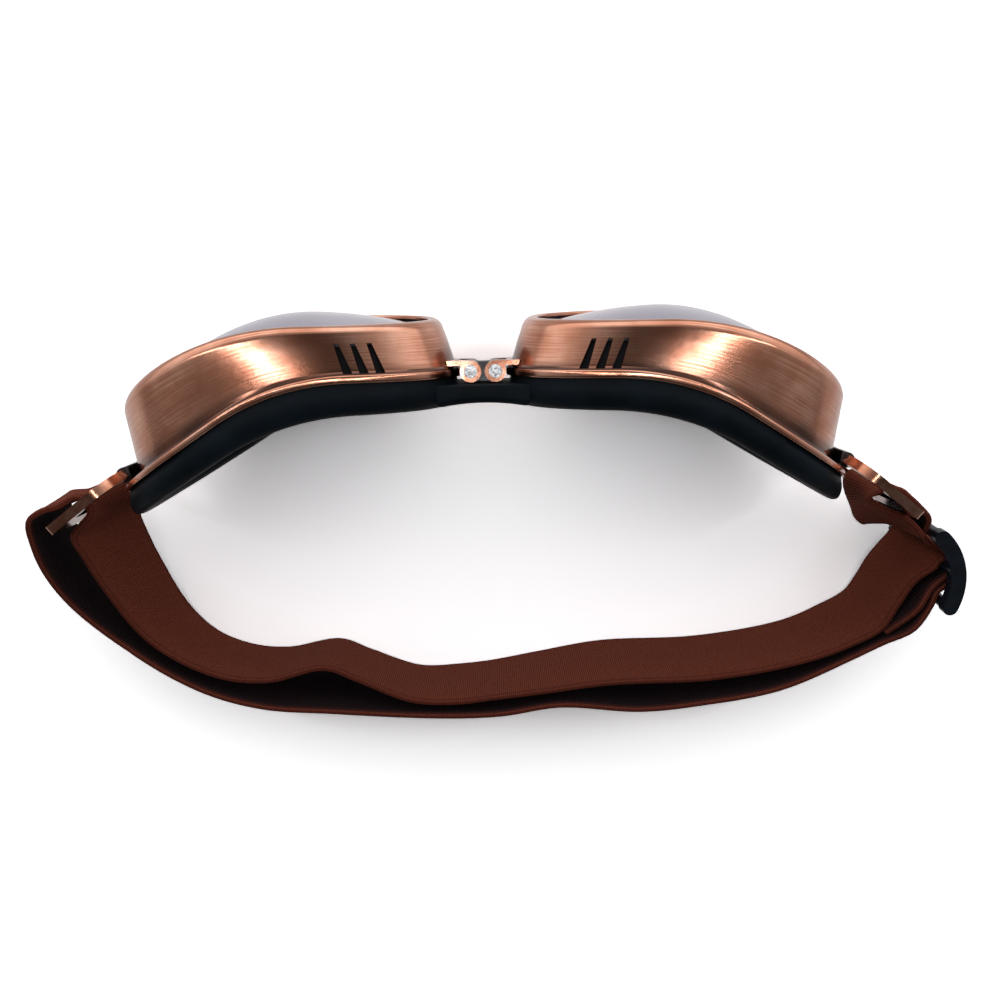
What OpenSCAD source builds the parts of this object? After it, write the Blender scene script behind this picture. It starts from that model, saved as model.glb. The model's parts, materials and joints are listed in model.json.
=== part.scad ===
// Steampunk goggles: two deep oval eye cups of sheet copper, hinged at the nose on screws,
// with a rubber face pad, a strap ring at each temple and one elastic strap with a slider.
// The goggles stand on their lower rims and on the lower edge of the strap, lenses towards +Y.

/* [Eye cups] */
// Width of a cup wall at its foot
wall_w = 82.6; // [79:0.1:85]
// Height of a cup wall at its foot
wall_h = 56; // [52:0.5:60]
// Depth of a cup from its foot to the front rim
cup_depth = 14.2; // [12:0.1:17]
// Thickness of the cup sheet
sheet_t = 1.3; // [1:0.1:1.6]
// Width of the front rim that turns in over the lens
rim_w = 3; // [2.4:0.1:3.6]
// Distance from the midline to a cup wall at the nose
nose_half = 6.4; // [6.2:0.1:7.4]
// Power of the superellipse that rounds the outline
outline_power = 2.5; // [2.2:0.1:2.9]
// Sideways slant of the outline, as a share of its height
outline_skew = 0.12; // [0.06:0.01:0.16]
// Number of flats round each oval form
oval_steps = 48; // [40:4:56]

/* [Face flange] */
// Thickness of the flange
flange_t = 1.45; // [1.2:0.05:1.7]
// Height of the rolled bead round the flange edge
bead_t = 1.85; // [1.75:0.05:2.2]
// Width of the flange at the nose
flange_nose = 0.3; // [0.2:0.05:0.4]
// Width of the flange at the temple
flange_temple = 4.2; // [3.6:0.1:5]
// Width of the flange over the brow and the cheek
flange_brow = 2; // [1.5:0.1:3]

/* [Wrap of the face] */
// Distance from the midline at which the back starts to bend
back_flat = 30; // [26:1:34]
// Radius of the bend of the back
back_radius = 58; // [52:1:66]
// Slope of the straight outer part of the back, in degrees
back_slope = 32; // [29:0.5:34]
// Distance from the midline at which the front starts to bend
front_flat = 42; // [38:1:46]
// Radius of the bend of the front
front_radius = 70; // [66:1:80]
// Lean of the front rim towards the cheeks, in degrees
front_lean = 3; // [1:0.5:4]

/* [Vents] */
// Number of vent slots in each row
vent_count = 3; // [2:1:3]
// Spacing of the vent slots
vent_pitch = 3.65; // [3.4:0.05:4.2]
// Width of a vent slot at the foot of the wall
vent_foot_w = 2.1; // [1.6:0.1:2.4]
// Width of a vent slot at its front end
vent_tip_w = 1.1; // [0.8:0.1:1.5]
// Length of a vent slot
vent_length = 6.2; // [5:0.1:7]

/* [Lens] */
// Thickness of a lens
lens_t = 2; // [1.6:0.1:2.4]
// Height of the dome of a lens over its edge
lens_dome = 4.6; // [3:0.1:5.4]
// Thickness of the rubber gasket in front of a lens
gasket_t = 0.8; // [0.6:0.1:1.2]
// Thickness of the spring ring behind a lens
retainer_t = 1; // [0.8:0.1:1.4]

/* [Face pad] */
// Thickness of the pad behind the flange at the nose
pad_t = 7.2; // [6:0.1:8]
// Extra thickness of the pad in the middle of a cup
pad_swell = 0.8; // [0:0.1:1.6]
// Width of the pad ring
pad_w = 8.2; // [7:0.1:9]

/* [Nose hinge] */
// Distance from the midline to a hinge screw
pin_half = 3; // [2.9:0.05:3.2]
// Outer radius of the hinge knuckles and the link
knuckle_r = 2.6; // [2.3:0.05:2.7]
// Radius of the screw shaft
screw_r = 1.15; // [0.9:0.05:1.3]
// Height of the hinge
hinge_h = 14; // [12:0.5:16]
// Height of the link between the knuckles
link_h = 5.4; // [4.4:0.2:6.4]
// Radius of the screw head
screw_head_r = 1.6; // [1.5:0.05:1.8]
// Height of the screw head
screw_head_h = 1.1; // [0.8:0.1:1.4]

/* [Strap rings] */
// Angle of the left ring out of the face plane, in degrees
left_ring_angle = 37; // [36:0.5:39]
// Angle of the right ring out of the face plane, in degrees
right_ring_angle = 39.5; // [38:0.5:41]
// Distance from the ring pivot to its outer end
ring_reach = 20; // [19.4:0.2:20.8]
// Width of the end bar of a ring
ring_bar_w = 6; // [5.4:0.2:6.6]
// Thickness of a ring
ring_t = 2.4; // [2:0.1:2.6]
// Height of the upper and lower rails of a ring
ring_rail_h = 2.8; // [2.2:0.1:3.6]
// Room for the strap in a ring or a slider, beyond the strap width
strap_room = 2.4; // [1.6:0.2:3.4]
// Radius of the rod at the ring pivot
ring_rod_r = 1.1; // [0.9:0.05:1.2]
// Outer radius of the clip that holds the rod
clip_r = 2; // [1.8:0.05:2.1]
// Height of the clip
clip_h = 16; // [12:1:20]
// Thickness of the clip sheet
clip_t = 1; // [0.8:0.1:1.2]

/* [Strap] */
// Width of the strap
strap_w = 28; // [24:1:30]
// Thickness of the strap
strap_t = 1.5; // [1.2:0.1:1.7]

/* [Slider] */
// Distance between the middle and each end bar
slider_pitch = 10.2; // [9.8:0.1:10.8]
// Radius of the middle bar
slider_bar_r = 1.2; // [1:0.1:1.4]
// Height of the upper and lower rails of the slider
slider_rail_h = 2.6; // [2:0.2:3.4]
// Thickness of the rails of the slider
slider_rail_t = 4; // [3.4:0.1:4.4]
// Outward bow of the slider over its end bars
slider_bow = 3.1; // [2.8:0.1:3.6]
// Tilt of the slider along the climbing strap, in degrees
slider_tilt = 6; // [4:0.5:9]

/* [Hidden] */

copper = "#b06a45";
dark_steel = "#4a4a4c";
bright_steel = "#c8c8ca";
rubber = "#22303a";
glass = "#d9d3dc";
webbing = "#6b4a42";
black_plastic = "#1b2126";

// Clearances: round fit, gap between pieces that are fixed together, gap beside soft pieces
fit = 0.05;
seat = 0.05;
soft_gap = 0.3;

// Outline of the wall foot (mix 0) and of the flange (mix 1): half width, half height, centre
wall_a = wall_w / 2;
flange_a = (wall_w + flange_nose + flange_temple) / 2;
wall_b = wall_h / 2;
flange_b = wall_b + flange_brow;
wall_c = nose_half + wall_a;
flange_c = nose_half - flange_nose + flange_a;
mid_z = flange_b;

// Draft of the wall towards the front: at the nose, at the temple, over the height
nose_draw = 4.5;
temple_draw = 3;
front_taper = 1 / 28;
// The foot of the wall at the nose stands this far behind the hinge screws
back_set = 1.3;

function lerp(a, b, f) = a + (b - a) * f;

// How far a curve that is flat up to x0 has dropped at x: an arc, then a straight slope
function arc_drop(x, x0, radius, slope) =
  let (run = x - x0, arc_run = radius * sin(slope))
  run <= 0 ? 0
  : run < arc_run ? radius - sqrt(radius * radius - run * run)
  : radius * (1 - cos(slope)) + (run - arc_run) * tan(slope);

function back_y(x) = -back_set - arc_drop(x, back_flat, back_radius, back_slope);
function front_y(x) = cup_depth - back_set - arc_drop(x, front_flat, front_radius, 50);

// A point on the right cup. turn: angle round the oval; mix: 0 wall outline, 1 flange outline;
// inset: distance inside that outline; q: 0 at the back, 1 at the front; dy: shift forwards;
// r: 1 on the outline, 0 in the middle.
function oval(turn, mix, inset, q, dy, r = 1) =
  let (
    a = (lerp(wall_a, flange_a, mix) - inset) * r,
    b = (lerp(wall_b, flange_b, mix) - inset) * r,
    c = lerp(wall_c, flange_c, mix),
    p = outline_power,
    k = pow(pow(abs(cos(turn)), p) + pow(abs(sin(turn)), p), -1 / p),
    across = k * cos(turn),
    w = b * k * sin(turn) * (1 - q * front_taper),
    u = c + a * across + q * lerp(nose_draw, temple_draw, (1 + r * across) / 2)
        - outline_skew * w
  )
  [u, lerp(back_y(u), front_y(u), q) + dy - q * w * tan(front_lean), mid_z + w];

function turn_at(i) = 360 * i / oval_steps;
function row_point(row, i) =
  oval(turn_at(i), row[0], row[1], row[2], row[3], len(row) > 4 ? row[4] : 1);

// Two triangles between neighbouring rows and steps
function patch(row, next_row, i, j) =
  [[row * oval_steps + i, row * oval_steps + j, next_row * oval_steps + j],
   [row * oval_steps + i, next_row * oval_steps + j, next_row * oval_steps + i]];

// A closed ring whose section is the closed list of rows [mix, inset, q, dy]
module oval_ring(rows) {
  n = oval_steps;
  m = len(rows);
  points = [for (row = rows) for (i = [0 : n - 1]) row_point(row, i)];
  faces = [for (k = [0 : m - 1]) for (i = [0 : n - 1])
             each patch(k, (k + 1) % m, i, (i + 1) % n)];
  polyhedron(points, faces, convexity = 8);
}

// A closed body through rows from back to front, with a middle point at each end that stands
// proud of its neighbouring row by the rise
module oval_body(rows, rise = 0) {
  n = oval_steps;
  m = len(rows);
  first = [0, rows[0][1], rows[0][2], rows[0][3] + rise, 0];
  last = [0, rows[m - 1][1], rows[m - 1][2], rows[m - 1][3] + rise, 0];
  points = concat([for (row = rows) for (i = [0 : n - 1]) row_point(row, i)],
                  [row_point(first, 0), row_point(last, 0)]);
  faces = concat(
    [for (k = [0 : m - 2]) for (i = [0 : n - 1]) each patch(k, k + 1, i, (i + 1) % n)],
    [for (i = [0 : n - 1]) [m * n, (i + 1) % n, i]],
    [for (i = [0 : n - 1]) [m * n + 1, (m - 1) * n + i, (m - 1) * n + (i + 1) % n]]);
  polyhedron(points, faces, convexity = 8);
}

// Everything on or inside the outer face of the cup wall, enlarged by a gap
module wall_plug(gap) {
  oval_body([[0, -gap, -0.1, 0], [0, -gap, 1.1, 0]]);
}

// Height of the dome over the flat edge of a lens at r, and the lens rows from edge to middle
lens_flat = 0.92;
function dome(r) = max(0, lens_dome * (1 - pow(r / lens_flat, 2)));
lens_rings = [0.3, 0.55, 0.8, lens_flat, 1];
// Thickness of the front rim, and depths behind its front
rim_t = 1.1;
gasket_at = rim_t + seat;
lens_at = gasket_at + gasket_t + seat;
retainer_at = lens_at + lens_t + seat;
// A row at a depth behind the front, which follows the inner face of the wall
function seat_row(depth, inset, rise = 0, r = 1) =
  let (q = (cup_depth - depth) / (cup_depth - rim_t))
  [0, inset, q, rise - rim_t * q, r];

module cup_shell() {
  inner = sheet_t;
  color(copper) difference() {
    oval_ring([
      [0, inner, 0, 0], [0.85, 0, 0, 0], [1, 0, 0, bead_t * 0.3], [1, 0, 0, bead_t * 0.75],
      [0.9, 0, 0, bead_t], [0.78, 0, 0, bead_t * 0.96], [0.68, 0, 0, flange_t],
      [0.2, 0, 0, flange_t], [0, -0.05, 0.06, flange_t], [0, 0, 0.2, 0], [0, 0, 0.86, 0],
      [0, 0.35, 0.955, 0], [0, 1.25, 1, 0], [0, rim_w, 1, 0], [0, rim_w, 1, -rim_t],
      [0, inner, 1, -rim_t]
    ]);
    for (i = [0 : vent_count - 1], up = [1, -1]) vent(i, up);
  }
}

// A tapered slot with round ends through the top or the bottom wall, leaning outwards
module vent(i, up) {
  foot = [23.4 + i * vent_pitch, 1.7];
  tip = foot + [2.2, vent_length - vent_foot_w / 2 - vent_tip_w / 2];
  lean = atan2(tip[1] - foot[1], tip[0] - foot[0]);
  outline = concat(
    [for (t = [90 : 30 : 270])
       foot + vent_foot_w / 2 * [cos(lean + t), sin(lean + t)]],
    [for (t = [-90 : 30 : 90])
       tip + vent_tip_w / 2 * [cos(lean + t), sin(lean + t)]]);
  low = up > 0 ? mid_z + wall_b * 0.6 : mid_z - wall_b - 2;
  shift = up > 0 ? 0 : 2 * outline_skew * wall_b;
  translate([shift, up > 0 ? 0 : 1, low]) linear_extrude(wall_b * 0.4 + 2) polygon(outline);
}

// A flat ring that fits in the wall, between two insets, from one depth to another
module seated_ring(depth, thick, inner) {
  outer = sheet_t + seat;
  oval_ring([seat_row(depth + thick, outer), seat_row(depth, outer),
             seat_row(depth, inner), seat_row(depth + thick, inner)]);
}

module lens_gasket() {
  color(rubber) seated_ring(gasket_at, gasket_t, rim_w + 0.4);
}

module lens() {
  edge = sheet_t + 0.2;
  reversed = [for (k = [len(lens_rings) - 1 : -1 : 0]) lens_rings[k]];
  color(glass) oval_body(concat(
    [for (r = lens_rings) seat_row(lens_at + lens_t, edge, dome(r), r)],
    [for (r = reversed) seat_row(lens_at, edge, dome(r), r)]),
    dome(0) - dome(lens_rings[0]));
}

module lens_retainer() {
  color(dark_steel) seated_ring(retainer_at, retainer_t, sheet_t + 1.3);
}

// Depth of the pad behind the flange at x
function pad_depth(x) = pad_t + pad_swell * sin(180 * (x - nose_half) / (wall_w + 10));

// The pad is an oval ring whose rows are shares of its own width and depth: crowned behind,
// with both sides drawn in towards the flange
module face_pad() {
  section = [[0.06, 0], [0, 0.3], [0.04, 0.62], [0.18, 0.87], [0.4, 0.99], [0.62, 1],
             [0.84, 0.86], [0.97, 0.6], [1, 0.3], [0.94, 0]];
  edge = 0.6;
  n = oval_steps;
  m = len(section);
  points = [for (k = [m - 1 : -1 : 0]) for (i = [0 : n - 1])
    let (base = oval(turn_at(i), 1, edge + section[k][0] * pad_w, 0, -3 * seat))
    base - [0, section[k][1] * pad_depth(base[0]), 0]];
  faces = [for (k = [0 : m - 1]) for (i = [0 : n - 1])
             each patch(k, (k + 1) % m, i, (i + 1) % n)];
  color(rubber) polyhedron(points, faces, convexity = 8);
}

// Everything inside the pad's outer side, so that the web between the pads ends beside them
module pad_plug(gap) {
  oval_body([[1, 0.6 - gap, 0, -pad_t - pad_swell - 2], [1, 0.6 - gap, 0, 3]]);
}

module pad_bridge() {
  reach = nose_half + 3;
  web_front = knuckle_r + soft_gap;
  web_back = pad_t + 0.1;
  color(rubber) difference() {
    translate([0, 0, mid_z - 5]) linear_extrude(24) polygon(concat(
      [[-reach, -web_front], [-reach, -web_back - 0.9]],
      [for (x = [-nose_half : 2 : nose_half])
         [x, -web_back - 0.9 * pow(abs(x) / reach, 2)]],
      [[reach, -web_back - 0.9], [reach, -web_front]]));
    for (side = [0, 1]) mirror([side, 0, 0]) pad_plug(soft_gap);
  }
}

hinge_z = mid_z;
leaf_h = (hinge_h - link_h - 2 * soft_gap) / 2;
leaf_t = 1.2;
bore_r = screw_r + fit;

// A rolled hinge leaf: two knuckles round the screw, and a sheet that runs to the nose wall
module hinge_leaf() {
  color(copper) difference() {
    union() {
      for (z = [hinge_z, hinge_z + hinge_h - leaf_h]) translate([pin_half, 0, z])
        cylinder(r = knuckle_r, h = leaf_h, $fn = 48);
      difference() {
        translate([pin_half, knuckle_r - leaf_t, hinge_z])
          cube([nose_half, leaf_t, hinge_h]);
        translate([pin_half, 0, hinge_z + leaf_h])
          cylinder(r = knuckle_r + 1.2, h = hinge_h - 2 * leaf_h, $fn = 48);
      }
    }
    translate([pin_half, 0, hinge_z - 1]) cylinder(r = bore_r, h = hinge_h + 2, $fn = 48);
    translate([pin_half, 0, hinge_z + hinge_h - screw_head_h - seat])
      cylinder(r = screw_head_r + fit, h = screw_head_h + 1, $fn = 48);
    wall_plug(0.2);
  }
}

module bridge_link() {
  low = hinge_z + leaf_h + soft_gap;
  color(dark_steel) difference() {
    translate([0, 0, low]) union() {
      for (side = [-1, 1]) translate([side * pin_half, 0, 0])
        cylinder(r = knuckle_r, h = link_h, $fn = 48);
      translate([-pin_half, -knuckle_r, 0]) cube([2 * pin_half, 2 * knuckle_r - 0.4, link_h]);
    }
    for (side = [-1, 1]) translate([side * pin_half, 0, low - 1])
      cylinder(r = screw_r + 0.02, h = link_h + 2, $fn = 48);
  }
}

module hinge_screw() {
  top = hinge_z + hinge_h;
  color(bright_steel) difference() {
    union() {
      translate([pin_half, 0, hinge_z]) cylinder(r = screw_r, h = hinge_h - 0.5, $fn = 48);
      translate([pin_half, 0, top - screw_head_h])
        cylinder(r = screw_head_r, h = screw_head_h, $fn = 48);
    }
    translate([pin_half, 0, top - 0.25]) rotate(35)
      cube([2 * screw_head_r + 1, 0.5, 0.9], center = true);
  }
}

// The clip pivot stands on the flange beside the temple wall
clip_x = nose_half + wall_w + clip_r + 0.8;
clip_y = back_y(clip_x) + bead_t + (clip_r + 0.6) / cos(back_slope);
clip_z = mid_z - clip_h / 2;

module strap_clip() {
  wall_foot = nose_half + wall_w;
  color(dark_steel) translate([clip_x, clip_y, clip_z]) linear_extrude(clip_h) difference() {
    union() {
      circle(r = clip_r, $fn = 48);
      rotate(-18) translate([-6, clip_r - clip_t - 0.15]) square([6, clip_t]);
    }
    circle(r = ring_rod_r + fit, $fn = 48);
    translate([wall_foot + 0.5 - clip_x, back_y(wall_foot) - clip_y])
      rotate(-atan2(temple_draw, cup_depth)) translate([-20, -20]) square([20, 60]);
  }
}

// A flat rounded rectangle between two corners
module round_rect(low, high, r) {
  translate(low + [r, 0]) square(high - low - [2 * r, 0]);
  translate(low + [0, r]) square(high - low - [0, 2 * r]);
  for (x = [low[0] + r, high[0] - r], y = [low[1] + r, high[1] - r])
    translate([x, y]) circle(r = r, $fn = 32);
}

slot_h = strap_w + strap_room;
ring_h = slot_h + 2 * ring_rail_h;
slot_reach = ring_reach - ring_bar_w;

// The ring stands upright on its rod and points outwards and back. Its plate lies a little
// behind the middle of the rod, has wide rounded shoulders there and is square at the end bar.
plate_out = -0.1;
shoulder_r = 8;
module strap_ring(angle) {
  half = ring_h / 2;
  color(copper) translate([clip_x, clip_y, mid_z]) rotate(-angle) union() {
    translate([0, plate_out + ring_t / 2, 0]) rotate([90, 0, 0]) linear_extrude(ring_t)
      difference() {
        union() {
          round_rect([-ring_rod_r, -half], [ring_reach, half], shoulder_r);
          round_rect([shoulder_r, -half], [ring_reach, half], 1);
        }
        round_rect([ring_rod_r - 0.1, -slot_h / 2], [slot_reach, slot_h / 2], shoulder_r - 2.6);
        round_rect([slot_reach - 8, -slot_h / 2], [slot_reach, slot_h / 2], 1.5);
        translate([-ring_rod_r - 3, -clip_h / 2 - soft_gap])
          square([2 * ring_rod_r + 6, clip_h + 2 * soft_gap]);
      }
    translate([0, 0, shoulder_r - half])
      cylinder(r = ring_rod_r, h = ring_h - 2 * shoulder_r, $fn = 48);
  }
}

// Places in a ring's own directions: along it from the pivot, and forwards from its plate
function on_ring(side, along, out) =
  let (angle = side < 0 ? left_ring_angle : right_ring_angle, ahead = out + plate_out)
  [side * (clip_x + along * cos(angle) + ahead * sin(angle)),
   clip_y - along * sin(angle) + ahead * cos(angle)];

// The slider stands beside the right temple, turned to face outwards
slider_turn = 103.5;
slider_at = [clip_x + 30.1, clip_y - 28.2];
slider_lift = 2.7;
rail_out = 0.3;
end_bar_out = rail_out - slider_bow;
end_bar_r = 1.5;
middle_bar_out = rail_out - 1.2;
slider_h = slot_h + 2 * slider_rail_h;

// Places in the slider's own directions: along it, forwards, and out of it
function on_slider(along, out) =
  slider_at + along * [cos(slider_turn), sin(slider_turn)]
  + out * [sin(slider_turn), -cos(slider_turn)];
// Height of the strap's lower edge at a place along the slider
function slider_strap_lift(along) =
  slider_lift + slider_rail_h + strap_room / 2 + along * tan(slider_tilt);

// One rail: a bar bent to an arc that passes over the three bars of the slider
module slider_rail() {
  radius = (pow(slider_pitch, 2) + pow(slider_bow, 2)) / (2 * slider_bow);
  spread = asin(slider_pitch / radius);
  wedge = radius + 10;
  translate([0, rail_out - radius, 0]) linear_extrude(slider_rail_h)
    intersection() {
      difference() {
        circle(r = radius + slider_rail_t / 2, $fn = 160);
        circle(r = radius - slider_rail_t / 2, $fn = 160);
      }
      polygon([[0, 0], wedge * [-sin(spread), cos(spread)], [0, wedge * 1.1],
               wedge * [sin(spread), cos(spread)]]);
    }
  for (side = [-1, 1]) translate([side * slider_pitch, end_bar_out, 0])
    cylinder(r = slider_rail_t / 2, h = slider_rail_h, $fn = 48);
}

module strap_slider() {
  color(black_plastic)
  translate([slider_at[0], slider_at[1], slider_lift + slider_h / 2]) rotate(slider_turn)
    mirror([0, 1, 0]) rotate([0, -slider_tilt, 0]) translate([0, 0, -slider_h / 2]) union() {
      for (z = [0, slider_h - slider_rail_h]) translate([0, 0, z]) slider_rail();
      for (side = [-1, 1]) translate([side * slider_pitch, end_bar_out, 0])
        cylinder(r = end_bar_r, h = slider_h, $fn = 48);
      translate([0, middle_bar_out, 0]) cylinder(r = slider_bar_r, h = slider_h, $fn = 48);
    }
}

// The strap is one strip. Its route is a list of knots [x, y, lift of the lower edge,
// lean of the upper edge in x, in y], taken at half the height of the strap.
wrap = strap_t / 2 + soft_gap;
tail_out = slider_bar_r + wrap;
weave_out = tail_out + strap_t + soft_gap;
end_pass = end_bar_out - end_bar_r - wrap - 0.4;
slider_lean = -strap_w * sin(slider_tilt) * [cos(slider_turn), sin(slider_turn)];

function slider_knot(along, out) =
  concat(on_slider(along, out), [slider_strap_lift(along)], slider_lean);
function ring_knot(side, along, out, lift, lean_along = 0, lean_out = 0) =
  concat(on_ring(side, along, out), [lift],
         on_ring(side, lean_along, lean_out) - on_ring(side, 0, 0));

// A free knot follows the clip, which stood at drawn_at when it was chosen
drawn_at = [91.8, -24.6087];
function drawn(x, y, lift, lean_x, lean_y) =
  [x * clip_x / drawn_at[0], y + clip_y - drawn_at[1], lift, lean_x, lean_y];

ring_lift = mid_z - strap_w / 2 - 0.7;
ring_pass = ring_t / 2 + wrap;

// Sewn end, round the middle bar of the slider and back
tail_knots = [
  drawn(109, -73.95, 1.4, 0, -1.6),
  slider_knot(-10.7, end_pass - 3.9),
  slider_knot(-5.4, end_pass + 0.6),
  slider_knot(-0.78 * tail_out, middle_bar_out + 0.65 * tail_out),
  slider_knot(0, middle_bar_out + tail_out),
  slider_knot(0.78 * tail_out, middle_bar_out + 0.65 * tail_out),
  slider_knot(tail_out, middle_bar_out),
  slider_knot(0.72 * tail_out, middle_bar_out - 0.75 * tail_out),
  slider_knot(0.4, middle_bar_out - tail_out - 0.6),
  drawn(114.2, -59.2, 4, 1, 0)
];
// Inner ply, from right to left
inner_right_knots = [
  drawn(111.2, -66.4, 2, 0, -1), drawn(108.0, -72.4, 1, 0, -2), drawn(100.0, -77.5, 0, 0, -2),
  drawn(87.6, -82.2, 0, -2, -2), drawn(62.6, -86.4, 0, -1, -2), drawn(33.1, -87.3, 0, 0, -2),
  drawn(14.0, -90.0, 0, 0, -1)
];
inner_left_knots = [
  drawn(0, -92.0, 0, 0, 0), drawn(-9.7, -93.0, 0, 0, 0), drawn(-22.4, -92.6, 0, 0, 1),
  drawn(-37.4, -86.6, 0, 0, 2), drawn(-46.4, -83.0, 0, 0, 2), drawn(-62.3, -85.8, 0, 0, 1),
  drawn(-74.0, -84.6, 0, -1, 1), drawn(-86.2, -79.0, 0, -3, 2), drawn(-94.0, -70.8, 1, -4, 1)
];
// Up to the left ring, through its slot from behind and round its end bar to the front
left_loop_knots = [
  drawn(-100.2, -54.0, 6.6, -5.5, 0), drawn(-101.6, -46.5, 10, -6.2, 0),
  drawn(-102.2, -39.8, 13.3, -6.6, 0),
  ring_knot(-1, slot_reach - 2.8, -3, ring_lift, 1, 1),
  ring_knot(-1, slot_reach - 4, -0.6, ring_lift),
  ring_knot(-1, slot_reach - 4, 1.4, ring_lift),
  ring_knot(-1, slot_reach - 2.4, 3, ring_lift),
  ring_knot(-1, slot_reach, 3.5, ring_lift),
  ring_knot(-1, slot_reach + 2.6, 4, ring_lift),
  drawn(-111, -32.4, 16, 0, 0), drawn(-116, -34.3, 15, 2, -2), drawn(-117.4, -41.8, 12, 2, 0)
];
// Outer ply, from left to right
outer_left_knots = [
  drawn(-116.6, -50.7, 8, 1, 0), drawn(-112.4, -61.7, 3, 0, 0), drawn(-99.8, -75.4, 0, 0, 0),
  drawn(-81.4, -87.6, 0, 0, 0), drawn(-65.0, -93.1, 0, 0, 0), drawn(-45.5, -95.0, 0, 0, 0),
  drawn(-14.6, -97.1, 0, 0, 0)
];
outer_right_knots = [
  drawn(2.3, -96.9, 0, 0, 0), drawn(19.2, -94.6, 0, 0, 0), drawn(41.7, -96.4, 0, 0, 0),
  drawn(58.5, -95.0, 0, 0, 0), drawn(80.7, -91.0, 0, 0, 0), drawn(99.3, -82.9, 0, 0, 0)
];
// Through the slider: inside its end bars and outside its middle bar
weave_knots = [
  drawn(108.3, -77.0, 1.2, 0, -1.6),
  slider_knot(-16.2, end_pass - 5.7),
  slider_knot(-slider_pitch, end_pass),
  slider_knot(-slider_pitch + 3, end_pass + 1.6),
  slider_knot(-4.6, middle_bar_out + 1.2),
  slider_knot(-2.3, middle_bar_out + weave_out - 0.7),
  slider_knot(0, middle_bar_out + weave_out),
  slider_knot(2.3, middle_bar_out + weave_out - 0.7),
  slider_knot(4.6, middle_bar_out + 1.2),
  slider_knot(slider_pitch - 3, end_pass + 1.6)
];
// Round the end bar of the right ring, folded behind it and back to the slider
right_loop_knots = [
  slider_knot(slider_pitch, end_pass),
  ring_knot(1, ring_reach + 7, 1.6, 11.2),
  ring_knot(1, ring_reach + 1.5, ring_pass, 13.4),
  ring_knot(1, slot_reach + 3, ring_pass, ring_lift - 0.4),
  ring_knot(1, slot_reach + 0.4, ring_pass, ring_lift),
  ring_knot(1, slot_reach - 1.5, 1.4, ring_lift),
  ring_knot(1, slot_reach - 2.7, -0.8, ring_lift, -1.5, 0),
  ring_knot(1, slot_reach - 1.6, -3.1, ring_lift + 0.8, -6.5, 0.4),
  ring_knot(1, slot_reach + 0.6, -4.8, ring_lift + 1.6, -13, 1.5),
  ring_knot(1, slot_reach + 4, -5.5, ring_lift, -9, 3.5),
  ring_knot(1, ring_reach + 3, -4.6, ring_lift - 1.4, -5, 5.5),
  ring_knot(1, ring_reach + 6.4, -3.5, ring_lift - 3.4, -2, 3.5),
  ring_knot(1, ring_reach + 9.2, -2.7, ring_lift - 4.6, 0, 0.6)
];

route = concat(tail_knots, inner_right_knots, inner_left_knots, left_loop_knots,
               outer_left_knots, outer_right_knots, weave_knots, right_loop_knots);
inner_right_at = len(tail_knots) + 1;
inner_left_at = len(tail_knots) + len(inner_right_knots);
left_loop_at = inner_left_at + len(inner_left_knots) + 1;
outer_left_at = left_loop_at - 1 + len(left_loop_knots);
outer_right_at = outer_left_at + len(outer_left_knots);
weave_at = outer_right_at + len(outer_right_knots);
right_loop_at = weave_at + len(weave_knots);
route_end = len(route) - 1;

function knot(i) = i < 0 ? 2 * route[0] - route[1]
  : i > route_end ? 2 * route[route_end] - route[route_end - 1] : route[i];
function plan(p) = [p[0], p[1], p[2]];
function gap_to(p, q) = max(0.2, sqrt(norm(plan(q) - plan(p))));

// A smooth curve through the knots: the centripetal form, which never loops back.
// It is kept from dipping under the ground.
function blend(a, b, from, to, t) = ((to - t) * a + (t - from) * b) / (to - from);
function grounded(p) = [p[0], p[1], max(0, p[2]), p[3], p[4]];
function along_route(i, f) =
  let (
    p0 = knot(i - 1), p1 = knot(i), p2 = knot(i + 1), p3 = knot(i + 2),
    t1 = gap_to(p0, p1), t2 = t1 + gap_to(p1, p2), t3 = t2 + gap_to(p2, p3),
    t = lerp(t1, t2, f),
    a1 = blend(p0, p1, 0, t1, t), a2 = blend(p1, p2, t1, t2, t),
    a3 = blend(p2, p3, t2, t3, t),
    b1 = blend(a1, a2, 0, t2, t), b2 = blend(a2, a3, t1, t3, t)
  )
  grounded(blend(b1, b2, t1, t2, t));

// Stations of a stretch of strap between two knots, pulled back a little at both ends
function strap_stations(from, to) =
  let (end_gap = 0.2)
  [for (i = [from : to - 1])
     let (
       length = norm(plan(knot(i + 1)) - plan(knot(i))),
       steps = max(2, ceil(length / 4.5)),
       trim = end_gap / length
     )
     for (j = [0 : i == to - 1 ? steps : steps - 1])
       let (f = j / steps,
            g = i == from && j == 0 ? trim : i == to - 1 && j == steps ? 1 - trim : f)
       along_route(i, g)];

function middle(p) = [p[0], p[1], p[2] + strap_w / 2];
function unit(v) = v / norm(v);
// The way the route runs at a knot, the same for the two pieces that meet there
function knot_heading(i) = unit(middle(knot(i + 1)) - middle(knot(i - 1)));

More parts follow.
